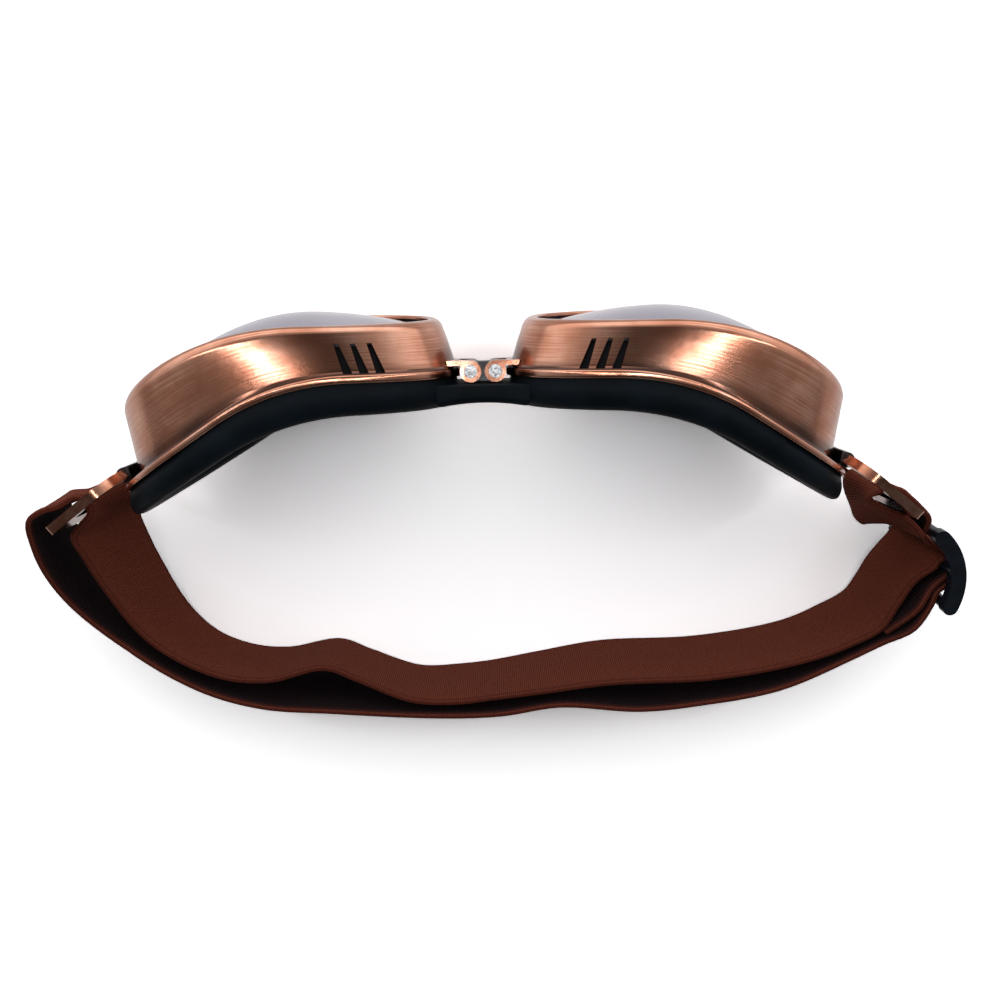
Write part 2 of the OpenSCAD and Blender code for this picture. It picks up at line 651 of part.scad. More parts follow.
// A stretch of the strap: four corners at each station, square to the route
module strap_piece(from, to) {
  line = strap_stations(from, to);
  n = len(line);
  corners = [for (i = [0 : n - 1])
    let (
      here = middle(line[i]),
      heading = i == 0 ? knot_heading(from)
        : i == n - 1 ? knot_heading(to)
        : unit(middle(line[i + 1]) - middle(line[i - 1])),
      upright = [line[i][3], line[i][4],
                 sqrt(strap_w * strap_w - pow(line[i][3], 2) - pow(line[i][4], 2))],
      half_w = upright / 2,
      half_t = unit(cross(heading, upright)) * strap_t / 2
    )
    each [here - half_w - half_t, here - half_w + half_t,
          here + half_w + half_t, here + half_w - half_t]];
  faces = concat(
    [for (i = [0 : n - 2]) for (k = [0 : 3])
       let (a = 4 * i + k, b = 4 * i + (k + 1) % 4)
       each [[a, b + 4, a + 4], [a, b, b + 4]]],
    [[0, 2, 1], [0, 3, 2]],
    [let (e = 4 * (n - 1)) each [[e, e + 1, e + 2], [e, e + 2, e + 3]]]);
  color(webbing) polyhedron(corners, faces, convexity = 8);
}

// The middle of the whole model in plan is put over the origin
strap_line = strap_stations(0, route_end);
strap_xs = [for (p = strap_line) p[0]];
strap_ys = [for (p = strap_line) p[1]];
front_edge = max([for (i = [0 : oval_steps - 1]) oval(turn_at(i), 0, 1.25, 1, 0)[1]]);
plan_shift = -[
  (min(strap_xs) + max(strap_xs)) / 2,
  (min(strap_ys) - strap_t / 2 + front_edge) / 2, 0];

// Puts a piece in its place: as drawn, or mirrored to the left side
module place(mirrored = false) {
  translate(plan_shift) mirror([mirrored ? 1 : 0, 0, 0]) children();
}

place() bridge_link();
place(true) hinge_screw();  // left_hinge_screw
place() hinge_screw();  // right_hinge_screw
place() pad_bridge();
place(true) cup_shell();  // left_cup_shell
place(true) lens_gasket();  // left_lens_gasket
place(true) lens();  // left_lens
place(true) lens_retainer();  // left_lens_retainer
place(true) face_pad();  // left_face_pad
place(true) hinge_leaf();  // left_hinge_leaf
place(true) strap_clip();  // left_strap_clip
place(true) strap_ring(left_ring_angle);  // left_strap_ring
place() cup_shell();  // right_cup_shell
place() lens_gasket();  // right_lens_gasket
place() lens();  // right_lens
place() lens_retainer();  // right_lens_retainer
place() face_pad();  // right_face_pad
place() hinge_leaf();  // right_hinge_leaf
place() strap_clip();  // right_strap_clip
place() strap_ring(right_ring_angle);  // right_strap_ring
place() strap_slider();
place() strap_piece(0, inner_right_at);  // strap_inner_tail
place() strap_piece(inner_right_at, inner_left_at);  // strap_inner_right
place() strap_piece(inner_left_at, left_loop_at);  // strap_inner_left
place() strap_piece(left_loop_at, outer_left_at);  // strap_left_loop
place() strap_piece(outer_left_at, outer_right_at);  // strap_outer_left
place() strap_piece(outer_right_at, weave_at);  // strap_outer_right
place() strap_piece(weave_at, right_loop_at);  // strap_slider_weave
place() strap_piece(right_loop_at, route_end);  // strap_right_loop
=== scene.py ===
"""The looks of a pair of steampunk goggles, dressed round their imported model.

Two deep oval cups of antiqued copper hinge together at the nose. Each holds a domed lens and a
soft rubber pad, and an elastic strap runs from ring to ring, with a slider at the right temple.
Sizes are in millimetres, as a maker would write them, and turned to metres where a mesh is made.
"""

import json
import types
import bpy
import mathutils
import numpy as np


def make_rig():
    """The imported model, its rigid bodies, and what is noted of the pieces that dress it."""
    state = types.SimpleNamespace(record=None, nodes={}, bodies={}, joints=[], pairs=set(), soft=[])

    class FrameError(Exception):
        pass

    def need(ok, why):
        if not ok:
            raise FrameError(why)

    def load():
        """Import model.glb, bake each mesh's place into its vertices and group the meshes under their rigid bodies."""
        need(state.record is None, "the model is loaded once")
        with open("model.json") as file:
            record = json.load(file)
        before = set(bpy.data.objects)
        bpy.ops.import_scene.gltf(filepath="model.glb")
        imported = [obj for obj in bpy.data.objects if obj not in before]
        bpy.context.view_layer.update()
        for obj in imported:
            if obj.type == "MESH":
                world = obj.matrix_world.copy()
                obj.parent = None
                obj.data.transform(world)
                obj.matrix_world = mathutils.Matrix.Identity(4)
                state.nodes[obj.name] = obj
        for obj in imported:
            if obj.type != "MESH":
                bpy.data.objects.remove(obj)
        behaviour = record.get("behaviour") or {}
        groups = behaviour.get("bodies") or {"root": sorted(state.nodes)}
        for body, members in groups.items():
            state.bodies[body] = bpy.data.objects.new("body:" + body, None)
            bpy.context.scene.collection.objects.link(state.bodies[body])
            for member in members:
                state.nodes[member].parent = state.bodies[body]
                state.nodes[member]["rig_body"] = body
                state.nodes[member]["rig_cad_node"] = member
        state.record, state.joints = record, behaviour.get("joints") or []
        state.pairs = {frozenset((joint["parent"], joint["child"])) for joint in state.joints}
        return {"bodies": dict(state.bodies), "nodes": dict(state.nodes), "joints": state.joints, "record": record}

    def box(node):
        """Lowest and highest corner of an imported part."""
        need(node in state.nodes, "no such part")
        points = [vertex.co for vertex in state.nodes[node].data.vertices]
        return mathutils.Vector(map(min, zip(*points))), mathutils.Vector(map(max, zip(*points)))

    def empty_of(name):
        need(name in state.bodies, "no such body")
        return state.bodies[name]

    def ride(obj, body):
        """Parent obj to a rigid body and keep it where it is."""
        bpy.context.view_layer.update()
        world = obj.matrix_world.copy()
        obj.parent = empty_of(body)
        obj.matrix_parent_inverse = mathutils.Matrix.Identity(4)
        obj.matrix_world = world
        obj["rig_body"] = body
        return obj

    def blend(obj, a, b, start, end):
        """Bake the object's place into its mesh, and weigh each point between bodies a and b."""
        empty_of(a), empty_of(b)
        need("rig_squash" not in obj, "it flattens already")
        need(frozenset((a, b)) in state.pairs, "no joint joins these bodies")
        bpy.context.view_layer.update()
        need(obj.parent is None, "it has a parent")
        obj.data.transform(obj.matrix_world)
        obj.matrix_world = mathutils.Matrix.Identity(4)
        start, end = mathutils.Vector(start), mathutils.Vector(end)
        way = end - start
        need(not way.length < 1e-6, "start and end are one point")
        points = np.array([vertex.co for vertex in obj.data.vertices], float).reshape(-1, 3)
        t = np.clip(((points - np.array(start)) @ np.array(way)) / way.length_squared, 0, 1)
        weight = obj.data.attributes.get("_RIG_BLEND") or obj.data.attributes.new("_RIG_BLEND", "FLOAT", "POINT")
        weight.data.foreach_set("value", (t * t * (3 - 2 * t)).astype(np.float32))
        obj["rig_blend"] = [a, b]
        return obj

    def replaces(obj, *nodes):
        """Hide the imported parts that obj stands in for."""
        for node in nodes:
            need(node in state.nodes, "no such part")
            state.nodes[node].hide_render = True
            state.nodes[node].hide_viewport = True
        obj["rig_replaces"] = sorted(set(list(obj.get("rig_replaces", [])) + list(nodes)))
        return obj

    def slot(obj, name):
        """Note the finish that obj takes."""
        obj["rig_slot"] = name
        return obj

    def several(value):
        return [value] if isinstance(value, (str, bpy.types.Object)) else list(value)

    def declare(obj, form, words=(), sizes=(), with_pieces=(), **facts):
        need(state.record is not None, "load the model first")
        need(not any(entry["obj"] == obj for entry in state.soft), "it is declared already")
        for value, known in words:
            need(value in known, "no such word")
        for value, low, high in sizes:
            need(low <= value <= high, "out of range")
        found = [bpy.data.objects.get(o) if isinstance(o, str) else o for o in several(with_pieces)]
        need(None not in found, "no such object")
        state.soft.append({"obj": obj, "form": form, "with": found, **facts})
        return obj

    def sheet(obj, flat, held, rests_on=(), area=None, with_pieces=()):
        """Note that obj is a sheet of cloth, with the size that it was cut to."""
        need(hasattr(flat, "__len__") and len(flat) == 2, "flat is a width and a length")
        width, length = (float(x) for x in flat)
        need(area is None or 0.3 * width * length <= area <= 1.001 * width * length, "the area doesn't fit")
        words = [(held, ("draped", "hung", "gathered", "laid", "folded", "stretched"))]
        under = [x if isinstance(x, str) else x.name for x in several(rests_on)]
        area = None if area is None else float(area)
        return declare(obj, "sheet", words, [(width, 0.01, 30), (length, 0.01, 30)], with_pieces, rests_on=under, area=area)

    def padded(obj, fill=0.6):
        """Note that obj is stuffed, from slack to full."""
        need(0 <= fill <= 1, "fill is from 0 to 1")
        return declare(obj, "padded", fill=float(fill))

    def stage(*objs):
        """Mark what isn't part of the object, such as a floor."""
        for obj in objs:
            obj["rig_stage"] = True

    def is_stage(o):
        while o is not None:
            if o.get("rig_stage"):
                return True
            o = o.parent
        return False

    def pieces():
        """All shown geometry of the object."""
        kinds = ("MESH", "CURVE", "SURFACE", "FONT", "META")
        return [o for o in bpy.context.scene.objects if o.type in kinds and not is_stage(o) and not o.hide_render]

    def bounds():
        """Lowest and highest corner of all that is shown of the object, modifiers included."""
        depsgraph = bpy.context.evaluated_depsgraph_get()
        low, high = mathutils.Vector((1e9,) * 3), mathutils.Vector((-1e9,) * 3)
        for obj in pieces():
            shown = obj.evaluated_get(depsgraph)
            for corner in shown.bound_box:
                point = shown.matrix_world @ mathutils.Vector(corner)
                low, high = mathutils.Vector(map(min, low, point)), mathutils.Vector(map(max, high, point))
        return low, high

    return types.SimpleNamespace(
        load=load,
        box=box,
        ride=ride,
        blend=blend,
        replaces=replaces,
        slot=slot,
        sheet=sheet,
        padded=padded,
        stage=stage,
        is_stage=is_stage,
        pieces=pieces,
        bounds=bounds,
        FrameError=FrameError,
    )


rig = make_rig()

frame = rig.load()

import json
import logging
import math
from dataclasses import dataclass, field
from enum import Enum
from typing import Any

import bpy
import numpy as np
from mathutils import Matrix, Vector

CAD_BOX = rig.bounds()
LOG = logging.getLogger("goggles")
MM = 0.001
Array = np.ndarray


class Side(Enum):
    """Which half of the goggles a piece belongs to, as the sign of its x."""

    LEFT = -1
    RIGHT = 1

    @property
    def word(self) -> str:
        """The word that the node names of this side start with."""
        return self.name.lower()


def linear(hex_colour: str) -> tuple[float, float, float, float]:
    """Turns an sRGB hex colour into linear red, green, blue and full alpha.

    Args:
        hex_colour: Six hex digits, with or without a leading hash.

    Returns:
        The four linear components.
    """
    digits = hex_colour.lstrip("#")
    parts = [int(digits[i:i + 2], 16) / 255 for i in (0, 2, 4)]
    flat = [c / 12.92 if c <= 0.04045 else ((c + 0.055) / 1.055) ** 2.4 for c in parts]
    return (flat[0], flat[1], flat[2], 1.0)


def add_node(tree: bpy.types.NodeTree, kind: str, settings: dict[str, Any] | None = None,
             inputs: dict[str | int, Any] | None = None) -> bpy.types.Node:
    """Adds one shader node with its settings and what goes into its sockets.

    Args:
        tree: The node tree of a material or the world.
        kind: Blender's name for the node type.
        settings: Node properties by name. "stops" fills a colour ramp with place and colour.
        inputs: By socket name or number, either a plain value or the socket to link from.

    Returns:
        The new node.
    """
    node = tree.nodes.new(kind)
    for name, value in (settings or {}).items():
        if name == "stops":
            elements = node.color_ramp.elements
            while len(elements) > 1:
                elements.remove(elements[-1])
            elements[0].position, elements[0].color = value[0]
            for place, colour in value[1:]:
                elements.new(place).color = colour
        else:
            setattr(node, name, value)
    for name, value in (inputs or {}).items():
        socket = node.inputs[name]
        if isinstance(value, bpy.types.NodeSocket):
            tree.links.new(value, socket)
        else:
            socket.default_value = value
    return node


def new_material(name: str) -> tuple[bpy.types.Material, bpy.types.NodeTree]:
    """Starts a material with an empty node tree.

    Args:
        name: The finish it is named for.

    Returns:
        The material and its tree.
    """
    material = bpy.data.materials.new(name)
    material.use_nodes = True
    material.node_tree.nodes.clear()
    return material, material.node_tree


def finish_material(tree: bpy.types.NodeTree, shader: bpy.types.Node) -> None:
    """Links a shader to the output of its tree."""
    add_node(tree, "ShaderNodeOutputMaterial", inputs={"Surface": shader.outputs[0]})


def grey(value: float) -> tuple[float, float, float, float]:
    """A linear grey with full alpha."""
    return (value, value, value, 1.0)


# ---- Meshes ---------------------------------------------------------------------------------

def surface(name: str, points: Array, closed_rows: bool, closed_cols: bool,
            uv: Array | None = None, sharp: float = 40.0) -> bpy.types.Object:
    """Makes one closed mesh from a grid of points.

    Rows that don't close are capped at both ends by one face each. The signed volume, a sixth
    of the sum of the triple products of all triangles, says whether the faces look outwards,
    and they are turned round where it is negative.

    Args:
        name: The piece's name.
        points: Points of shape (rows, columns, 3), in metres, in the row frame.
        closed_rows: Whether the last row joins the first.
        closed_cols: Whether the last column joins the first.
        uv: Places on the surface in millimetres, one row and one column more where it closes.
        sharp: Angle in degrees over which an edge stays sharp.

    Returns:
        The object, at the origin, linked to the scene.
    """
    rows, cols = points.shape[:2]
    row, col = np.meshgrid(np.arange(rows if closed_rows else rows - 1),
                           np.arange(cols if closed_cols else cols - 1), indexing="ij")
    next_row, next_col = (row + 1) % rows, (col + 1) % cols
    quads = np.stack([row * cols + col, row * cols + next_col,
                      next_row * cols + next_col, next_row * cols + col], -1).reshape(-1, 4)
    flat = points.reshape(-1, 3)
    corner = flat[quads]
    volume = np.einsum("ij,ij->", corner[:, 0], np.cross(corner[:, 1], corner[:, 2]))
    volume += np.einsum("ij,ij->", corner[:, 0], np.cross(corner[:, 2], corner[:, 3]))
    ends: list[Array] = []
    if not closed_rows:
        ends = [np.arange(cols)[::-1], (rows - 1) * cols + np.arange(cols)]
        for end in ends:
            fan = flat[end]
            volume += np.einsum("ij,ij->", np.broadcast_to(fan[0], fan[1:-1].shape),
                                np.cross(fan[1:-1], fan[2:]))
    if volume < 0:
        quads = quads[:, ::-1]
        ends = [end[::-1] for end in ends]
    faces = quads.tolist() + [end.tolist() for end in ends]
    mesh = bpy.data.meshes.new(name)
    mesh.from_pydata(flat.tolist(), [], faces)
    if uv is not None:
        on_face = np.stack([uv[row, col], uv[row, col + 1], uv[row + 1, col + 1],
                            uv[row + 1, col]], -2).reshape(-1, 4, 2)
        if volume < 0:
            on_face = on_face[:, ::-1]
        loops = np.concatenate([on_face.reshape(-1, 2)]
                               + [np.repeat(uv[:1, 0], cols, 0) for _ in ends])
        mesh.uv_layers.new(name="Fibre").data.foreach_set("uv", loops.ravel().astype("f4"))
    mesh.validate()
    mesh.shade_smooth()
    mesh.set_sharp_from_angle(angle=math.radians(sharp))
    piece = bpy.data.objects.new(name, mesh)
    bpy.context.scene.collection.objects.link(piece)
    return piece


def lengths_along(points: Array) -> Array:
    """The running length of a path at each of its points, in the path's own unit.

    Args:
        points: Points of shape (n, 3).

    Returns:
        n lengths, the first of them 0.
    """
    return np.concatenate([[0.0], np.cumsum(np.linalg.norm(np.diff(points, axis=0), axis=1))])


def rounded(profile: Array, cuts: Array, steps: int = 4) -> Array:
    """Rounds the corners of a closed profile.

    Each corner gives way to a quadratic curve: it leaves one side at the cut's length from the
    corner, heads for the corner and joins the other side at the same length.

    Args:
        profile: Corners of shape (n, k).
        cuts: The cut's length at each corner.
        steps: Points on each rounded corner.

    Returns:
        Points of shape (n * steps, k), in order round the profile.
    """
    before, after = np.roll(profile, 1, 0), np.roll(profile, -1, 0)
    to_before, to_after = before - profile, after - profile
    share = [np.minimum(0.48, cuts / np.maximum(1e-9, np.linalg.norm(v, axis=1)))[:, None]
             for v in (to_before, to_after)]
    start, end = profile + to_before * share[0], profile + to_after * share[1]
    t = np.linspace(0, 1, steps)[None, :, None]
    curve = ((1 - t) ** 2 * start[:, None] + 2 * t * (1 - t) * profile[:, None]
             + t ** 2 * end[:, None])
    return curve.reshape(-1, profile.shape[1])


@dataclass(frozen=True)
class Place:
    """Where the hinge of the goggles stands in the row frame, in millimetres."""

    x: float
    y: float

    def row(self, points: Array, side: Side = Side.RIGHT) -> Array:
        """Moves points from the hinge's own frame to the row frame.

        The points are mirrored in x for the left side, shifted, and scaled to metres.

        Args:
            points: Points of shape (..., 3) in millimetres, drawn for the right side.
            side: The side that they are for.

        Returns:
            The points in metres.
        """
        return (points * np.array([side.value, 1, 1]) + np.array([self.x, self.y, 0])) * MM

    def spot(self, x: float, y: float, z: float) -> tuple[float, float, float]:
        """One point of the hinge's frame as a tuple in the row frame, in metres."""
        return tuple(float(v) for v in self.row(np.array([x, y, z])))


def hinge_place() -> Place:
    """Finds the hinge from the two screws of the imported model: it stands midway between them."""
    boxes = np.array([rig.box(f"{side.word}_hinge_screw") for side in Side], float)
    middle = boxes.mean(axis=(0, 1)) / MM
    return Place(float(middle[0]), float(middle[1]))


# ---- Finishes -------------------------------------------------------------------------------

@dataclass(frozen=True)
class AntiquedCopper:
    """Sheet steel plated with copper, brushed round the wall, darkened and wiped back.

    What was wiped is a warm salmon copper, and the edges are polished bright. The colour turns
    nearly black along the foot of the wall and low on the wall by the nose.
    """

    bright: str = "#e2b19a"
    worn: str = "#b4775d"
    shaded: str = "#7d4633"
    patina: str = "#2a1511"
    streak_mm: float = 0.16
    streak_length_mm: float = 22.0
    lean: float = 0.03

    def material(self, name: str, foot_mm: float | None = None) -> bpy.types.Material:
        """Makes the copper.

        Args:
            name: The material's name.
            foot_mm: Where the foot of the wall lies on the piece's UV map, or None for a small
                piece that has no such map and reads its place in the object.

        Returns:
            The material.
        """
        material, tree = new_material(name)
        places = add_node(tree, "ShaderNodeTexCoord")
        spot = places.outputs["Object"]
        if foot_mm is None:
            brush = add_node(tree, "ShaderNodeMapping",
                             inputs={"Vector": spot, "Scale": (300.0, 300.0, 4000.0)})
        else:
            brush = add_node(tree, "ShaderNodeMapping", inputs={
                "Vector": places.outputs["UV"],
                "Scale": (1 / self.streak_length_mm, 1 / self.streak_mm, 1.0)})
        # Brush lines run round the wall: fine across it and long along it
        streaks = add_node(tree, "ShaderNodeTexNoise", {"noise_dimensions": "2D"}, {
            "Vector": brush.outputs[0], "Scale": 1.0, "Detail": 4.0, "Roughness": 0.62})
        # Cloudy darkening of about a centimetre, where the patina was wiped unevenly
        clouds = add_node(tree, "ShaderNodeTexNoise", inputs={
            "Vector": spot, "Scale": 85.0, "Detail": 3.0, "Roughness": 0.5})
        tone = add_node(tree, "ShaderNodeMath", {"operation": "MULTIPLY_ADD"}, {
            0: streaks.outputs["Fac"], 1: 0.34, 2: 0.19})
        tone = add_node(tree, "ShaderNodeMath", {"operation": "MULTIPLY_ADD"}, {
            0: clouds.outputs["Fac"], 1: 0.35, 2: tone.outputs[0]})
        copper = add_node(tree, "ShaderNodeValToRGB", {"stops": [
            (0.30, linear(self.shaded)), (0.50, linear(self.worn)), (0.66, linear(self.bright))]},
            {"Fac": tone.outputs[0]})
        colour = copper.outputs["Color"]
        if foot_mm is not None:
            along = add_node(tree, "ShaderNodeSeparateXYZ", inputs={0: places.outputs["UV"]})
            above = add_node(tree, "ShaderNodeMath", {"operation": "SUBTRACT"}, {
                0: along.outputs["Y"], 1: foot_mm})
            # A dark line in the corner of wall and flange that fades over 2 to 3 mm
            wander = add_node(tree, "ShaderNodeMath", {"operation": "MULTIPLY_ADD"}, {
                0: clouds.outputs["Fac"], 1: -3.2, 2: above.outputs[0]})
            foot = add_node(tree, "ShaderNodeMapRange", {"interpolation_type": "SMOOTHSTEP"}, {
                "Value": wander.outputs[0], "From Min": -1.9, "From Max": 1.4,
                "To Min": 0.92, "To Max": 0.0})
            under = add_node(tree, "ShaderNodeMapRange", {"interpolation_type": "SMOOTHSTEP"}, {
                "Value": above.outputs[0], "From Min": -1.3, "From Max": -0.3,
                "To Min": 0.0, "To Max": 1.0})
            mask = add_node(tree, "ShaderNodeMath", {"operation": "MULTIPLY"}, {
                0: foot.outputs[0], 1: under.outputs[0]})
            across = add_node(tree, "ShaderNodeSeparateXYZ", inputs={0: spot})
            from_nose = add_node(tree, "ShaderNodeMath", {"operation": "ABSOLUTE"}, {
                0: add_node(tree, "ShaderNodeMath", {"operation": "SUBTRACT"}, {
                    0: across.outputs["X"], 1: hinge_place().x * MM}).outputs[0]})
            nose = add_node(tree, "ShaderNodeMapRange", {"interpolation_type": "SMOOTHSTEP"}, {
                "Value": from_nose.outputs[0], "From Min": 0.0075, "From Max": 0.0135,
                "To Min": 0.8, "To Max": 0.0})
            low = add_node(tree, "ShaderNodeMapRange", {"interpolation_type": "SMOOTHSTEP"}, {
                "Value": above.outputs[0], "From Min": 3.5, "From Max": 9.0,
                "To Min": 1.0, "To Max": 0.12})
            nose_low = add_node(tree, "ShaderNodeMath", {"operation": "MULTIPLY"}, {
                0: nose.outputs[0], 1: low.outputs[0]})
            both = add_node(tree, "ShaderNodeMath", {"operation": "MAXIMUM"}, {
                0: mask.outputs[0], 1: nose_low.outputs[0]})
            # Nearly black along the foot of the wall and low on the wall by the nose
            dark = add_node(tree, "ShaderNodeMix", {"data_type": "RGBA"}, {
                0: both.outputs[0], 6: colour, 7: linear(self.patina)})
            colour = dark.outputs[2]
        rough = add_node(tree, "ShaderNodeMapRange", inputs={
            "Value": streaks.outputs["Fac"], "From Min": 0.3, "From Max": 0.7,
            "To Min": 0.18, "To Max": 0.14})
        relief = add_node(tree, "ShaderNodeBump", inputs={
            "Strength": 0.02, "Distance": 0.0002, "Height": streaks.outputs["Fac"]})
        shader = add_node(tree, "ShaderNodeBsdfPrincipled", inputs={
            "Base Color": colour, "Metallic": 1.0, "Roughness": rough.outputs[0],
            "Coat Weight": 0.3, "Coat Roughness": 0.14, "Normal": relief.outputs[0]})
        if foot_mm is not None:
            # Brushing draws the highlight out in one direction, and each line leans a little on
            # its own, so the edge of a highlight is jagged
            run = add_node(tree, "ShaderNodeTangent", {"direction_type": "UV_MAP",
                                                       "uv_map": "Fibre"})
            lean = add_node(tree, "ShaderNodeMath", {"operation": "MULTIPLY_ADD"}, {
                0: streaks.outputs["Fac"], 1: self.lean, 2: -self.lean / 2})
            aside = add_node(tree, "ShaderNodeVectorMath", {"operation": "SCALE"}, {
                0: run.outputs[0], "Scale": lean.outputs[0]})
            tilted = add_node(tree, "ShaderNodeVectorMath", {"operation": "ADD"}, {
                0: relief.outputs[0], 1: aside.outputs[0]})
            unit = add_node(tree, "ShaderNodeVectorMath", {"operation": "NORMALIZE"}, {
                0: tilted.outputs[0]})
            tree.links.new(unit.outputs[0], shader.inputs["Normal"])
            tree.links.new(run.outputs[0], shader.inputs["Tangent"])
            shader.inputs["Anisotropic"].default_value = 0.8
            shader.inputs["Anisotropic Rotation"].default_value = 0.0
        finish_material(tree, shader)
        return material


@dataclass(frozen=True)
class WornSteel:
    """Steel of the screws, the link and the clips: blackened or bright nickel, finely scuffed."""

    base: str = "#5b5c60"
    mark: str = "#2b2a2c"
    rough: float = 0.3

    def material(self, name: str) -> bpy.types.Material:
        """Makes the steel, with scuffs of about half a millimetre.

        Args:
            name: The material's name.

        Returns:
            The material.
        """
        material, tree = new_material(name)
        spot = add_node(tree, "ShaderNodeTexCoord").outputs["Object"]
        scuffs = add_node(tree, "ShaderNodeTexNoise", inputs={
            "Vector": spot, "Scale": 1600.0, "Detail": 4.0, "Roughness": 0.6})
        colour = add_node(tree, "ShaderNodeValToRGB", {"stops": [
            (0.34, linear(self.mark)), (0.56, linear(self.base))]},
            {"Fac": scuffs.outputs["Fac"]})
        rough = add_node(tree, "ShaderNodeMapRange", inputs={
            "Value": scuffs.outputs["Fac"], "To Min": self.rough + 0.14,
            "To Max": self.rough - 0.1})
        relief = add_node(tree, "ShaderNodeBump", inputs={
            "Strength": 0.15, "Distance": 0.0001, "Height": scuffs.outputs["Fac"]})
        shader = add_node(tree, "ShaderNodeBsdfPrincipled", inputs={
            "Base Color": colour.outputs["Color"], "Metallic": 1.0,
            "Roughness": rough.outputs[0], "Normal": relief.outputs[0]})
        finish_material(tree, shader)
        return material


@dataclass(frozen=True)
class MouldedRubber:
    """Soft blue-black rubber: a satin skin with a fine grain and a faint bloom."""

    base: str = "#060c11"
    bloom: str = "#0d161d"
    rough: float = 0.5

    def material(self, name: str) -> bpy.types.Material:
        """Makes the rubber, with a grain of 0.4 mm and a bloom of a centimetre.

        Args:
            name: The material's name.

        Returns:
            The material.
        """
        material, tree = new_material(name)
        spot = add_node(tree, "ShaderNodeTexCoord").outputs["Object"]
        grain = add_node(tree, "ShaderNodeTexNoise", inputs={
            "Vector": spot, "Scale": 2400.0, "Detail": 2.0})
        bloom = add_node(tree, "ShaderNodeTexNoise", inputs={
            "Vector": spot, "Scale": 90.0, "Detail": 3.0})
        colour = add_node(tree, "ShaderNodeValToRGB", {"stops": [
            (0.38, linear(self.base)), (0.72, linear(self.bloom))]},
            {"Fac": bloom.outputs["Fac"]})
        rough = add_node(tree, "ShaderNodeMapRange", inputs={
            "Value": bloom.outputs["Fac"], "To Min": self.rough - 0.1,
            "To Max": self.rough + 0.14})
        relief = add_node(tree, "ShaderNodeBump", inputs={
            "Strength": 0.12, "Distance": 0.0001, "Height": grain.outputs["Fac"]})
        shader = add_node(tree, "ShaderNodeBsdfPrincipled", inputs={
            "Base Color": colour.outputs["Color"], "Roughness": rough.outputs[0],
            "Specular IOR Level": 0.08, "Normal": relief.outputs[0]})
        finish_material(tree, shader)
        return material


@dataclass(frozen=True)
class LensGlass:
    """Polished clear lens with a faint lilac mirror film."""

    tint: str = "#b4aebd"
    pale: str = "#cac5d2"

    def material(self, name: str) -> bpy.types.Material:
        """Makes the lens: glass, with faint cloudy differences in its film.

        Args:
            name: The material's name.

        Returns:
            The material.
        """
        material, tree = new_material(name)
        spot = add_node(tree, "ShaderNodeTexCoord").outputs["Object"]
        film = add_node(tree, "ShaderNodeTexNoise", inputs={
            "Vector": spot, "Scale": 40.0, "Detail": 2.0})
        colour = add_node(tree, "ShaderNodeValToRGB", {"stops": [
            (0.35, linear(self.tint)), (0.65, linear(self.pale))]},
            {"Fac": film.outputs["Fac"]})
        shader = add_node(tree, "ShaderNodeBsdfPrincipled", inputs={
            "Base Color": colour.outputs["Color"], "Roughness": 0.07, "IOR": 1.52,
            "Transmission Weight": 0.6, "Metallic": 0.35})
        finish_material(tree, shader)
        return material


@dataclass(frozen=True)
class GlossPlastic:
    """Injection-moulded acetal of the slider: blue-black, glossy, lightly handled."""

    base: str = "#10161e"
    deep: str = "#0a0f15"

    def material(self, name: str) -> bpy.types.Material:
        """Makes the plastic, with a slight flow unevenness of the mould.

        Args:
            name: The material's name.

        Returns:
            The material.
        """
        material, tree = new_material(name)
        spot = add_node(tree, "ShaderNodeTexCoord").outputs["Object"]
        flow = add_node(tree, "ShaderNodeTexNoise", inputs={
            "Vector": spot, "Scale": 260.0, "Detail": 3.0})
        colour = add_node(tree, "ShaderNodeValToRGB", {"stops": [
            (0.3, linear(self.deep)), (0.7, linear(self.base))]}, {"Fac": flow.outputs["Fac"]})
        rough = add_node(tree, "ShaderNodeMapRange", inputs={
            "Value": flow.outputs["Fac"], "To Min": 0.16, "To Max": 0.34})
        relief = add_node(tree, "ShaderNodeBump", inputs={
            "Strength": 0.1, "Distance": 0.0002, "Height": flow.outputs["Fac"]})
        shader = add_node(tree, "ShaderNodeBsdfPrincipled", inputs={
            "Base Color": colour.outputs["Color"], "Roughness": rough.outputs[0],
            "IOR": 1.48, "Normal": relief.outputs[0]})
        finish_material(tree, shader)
        return material


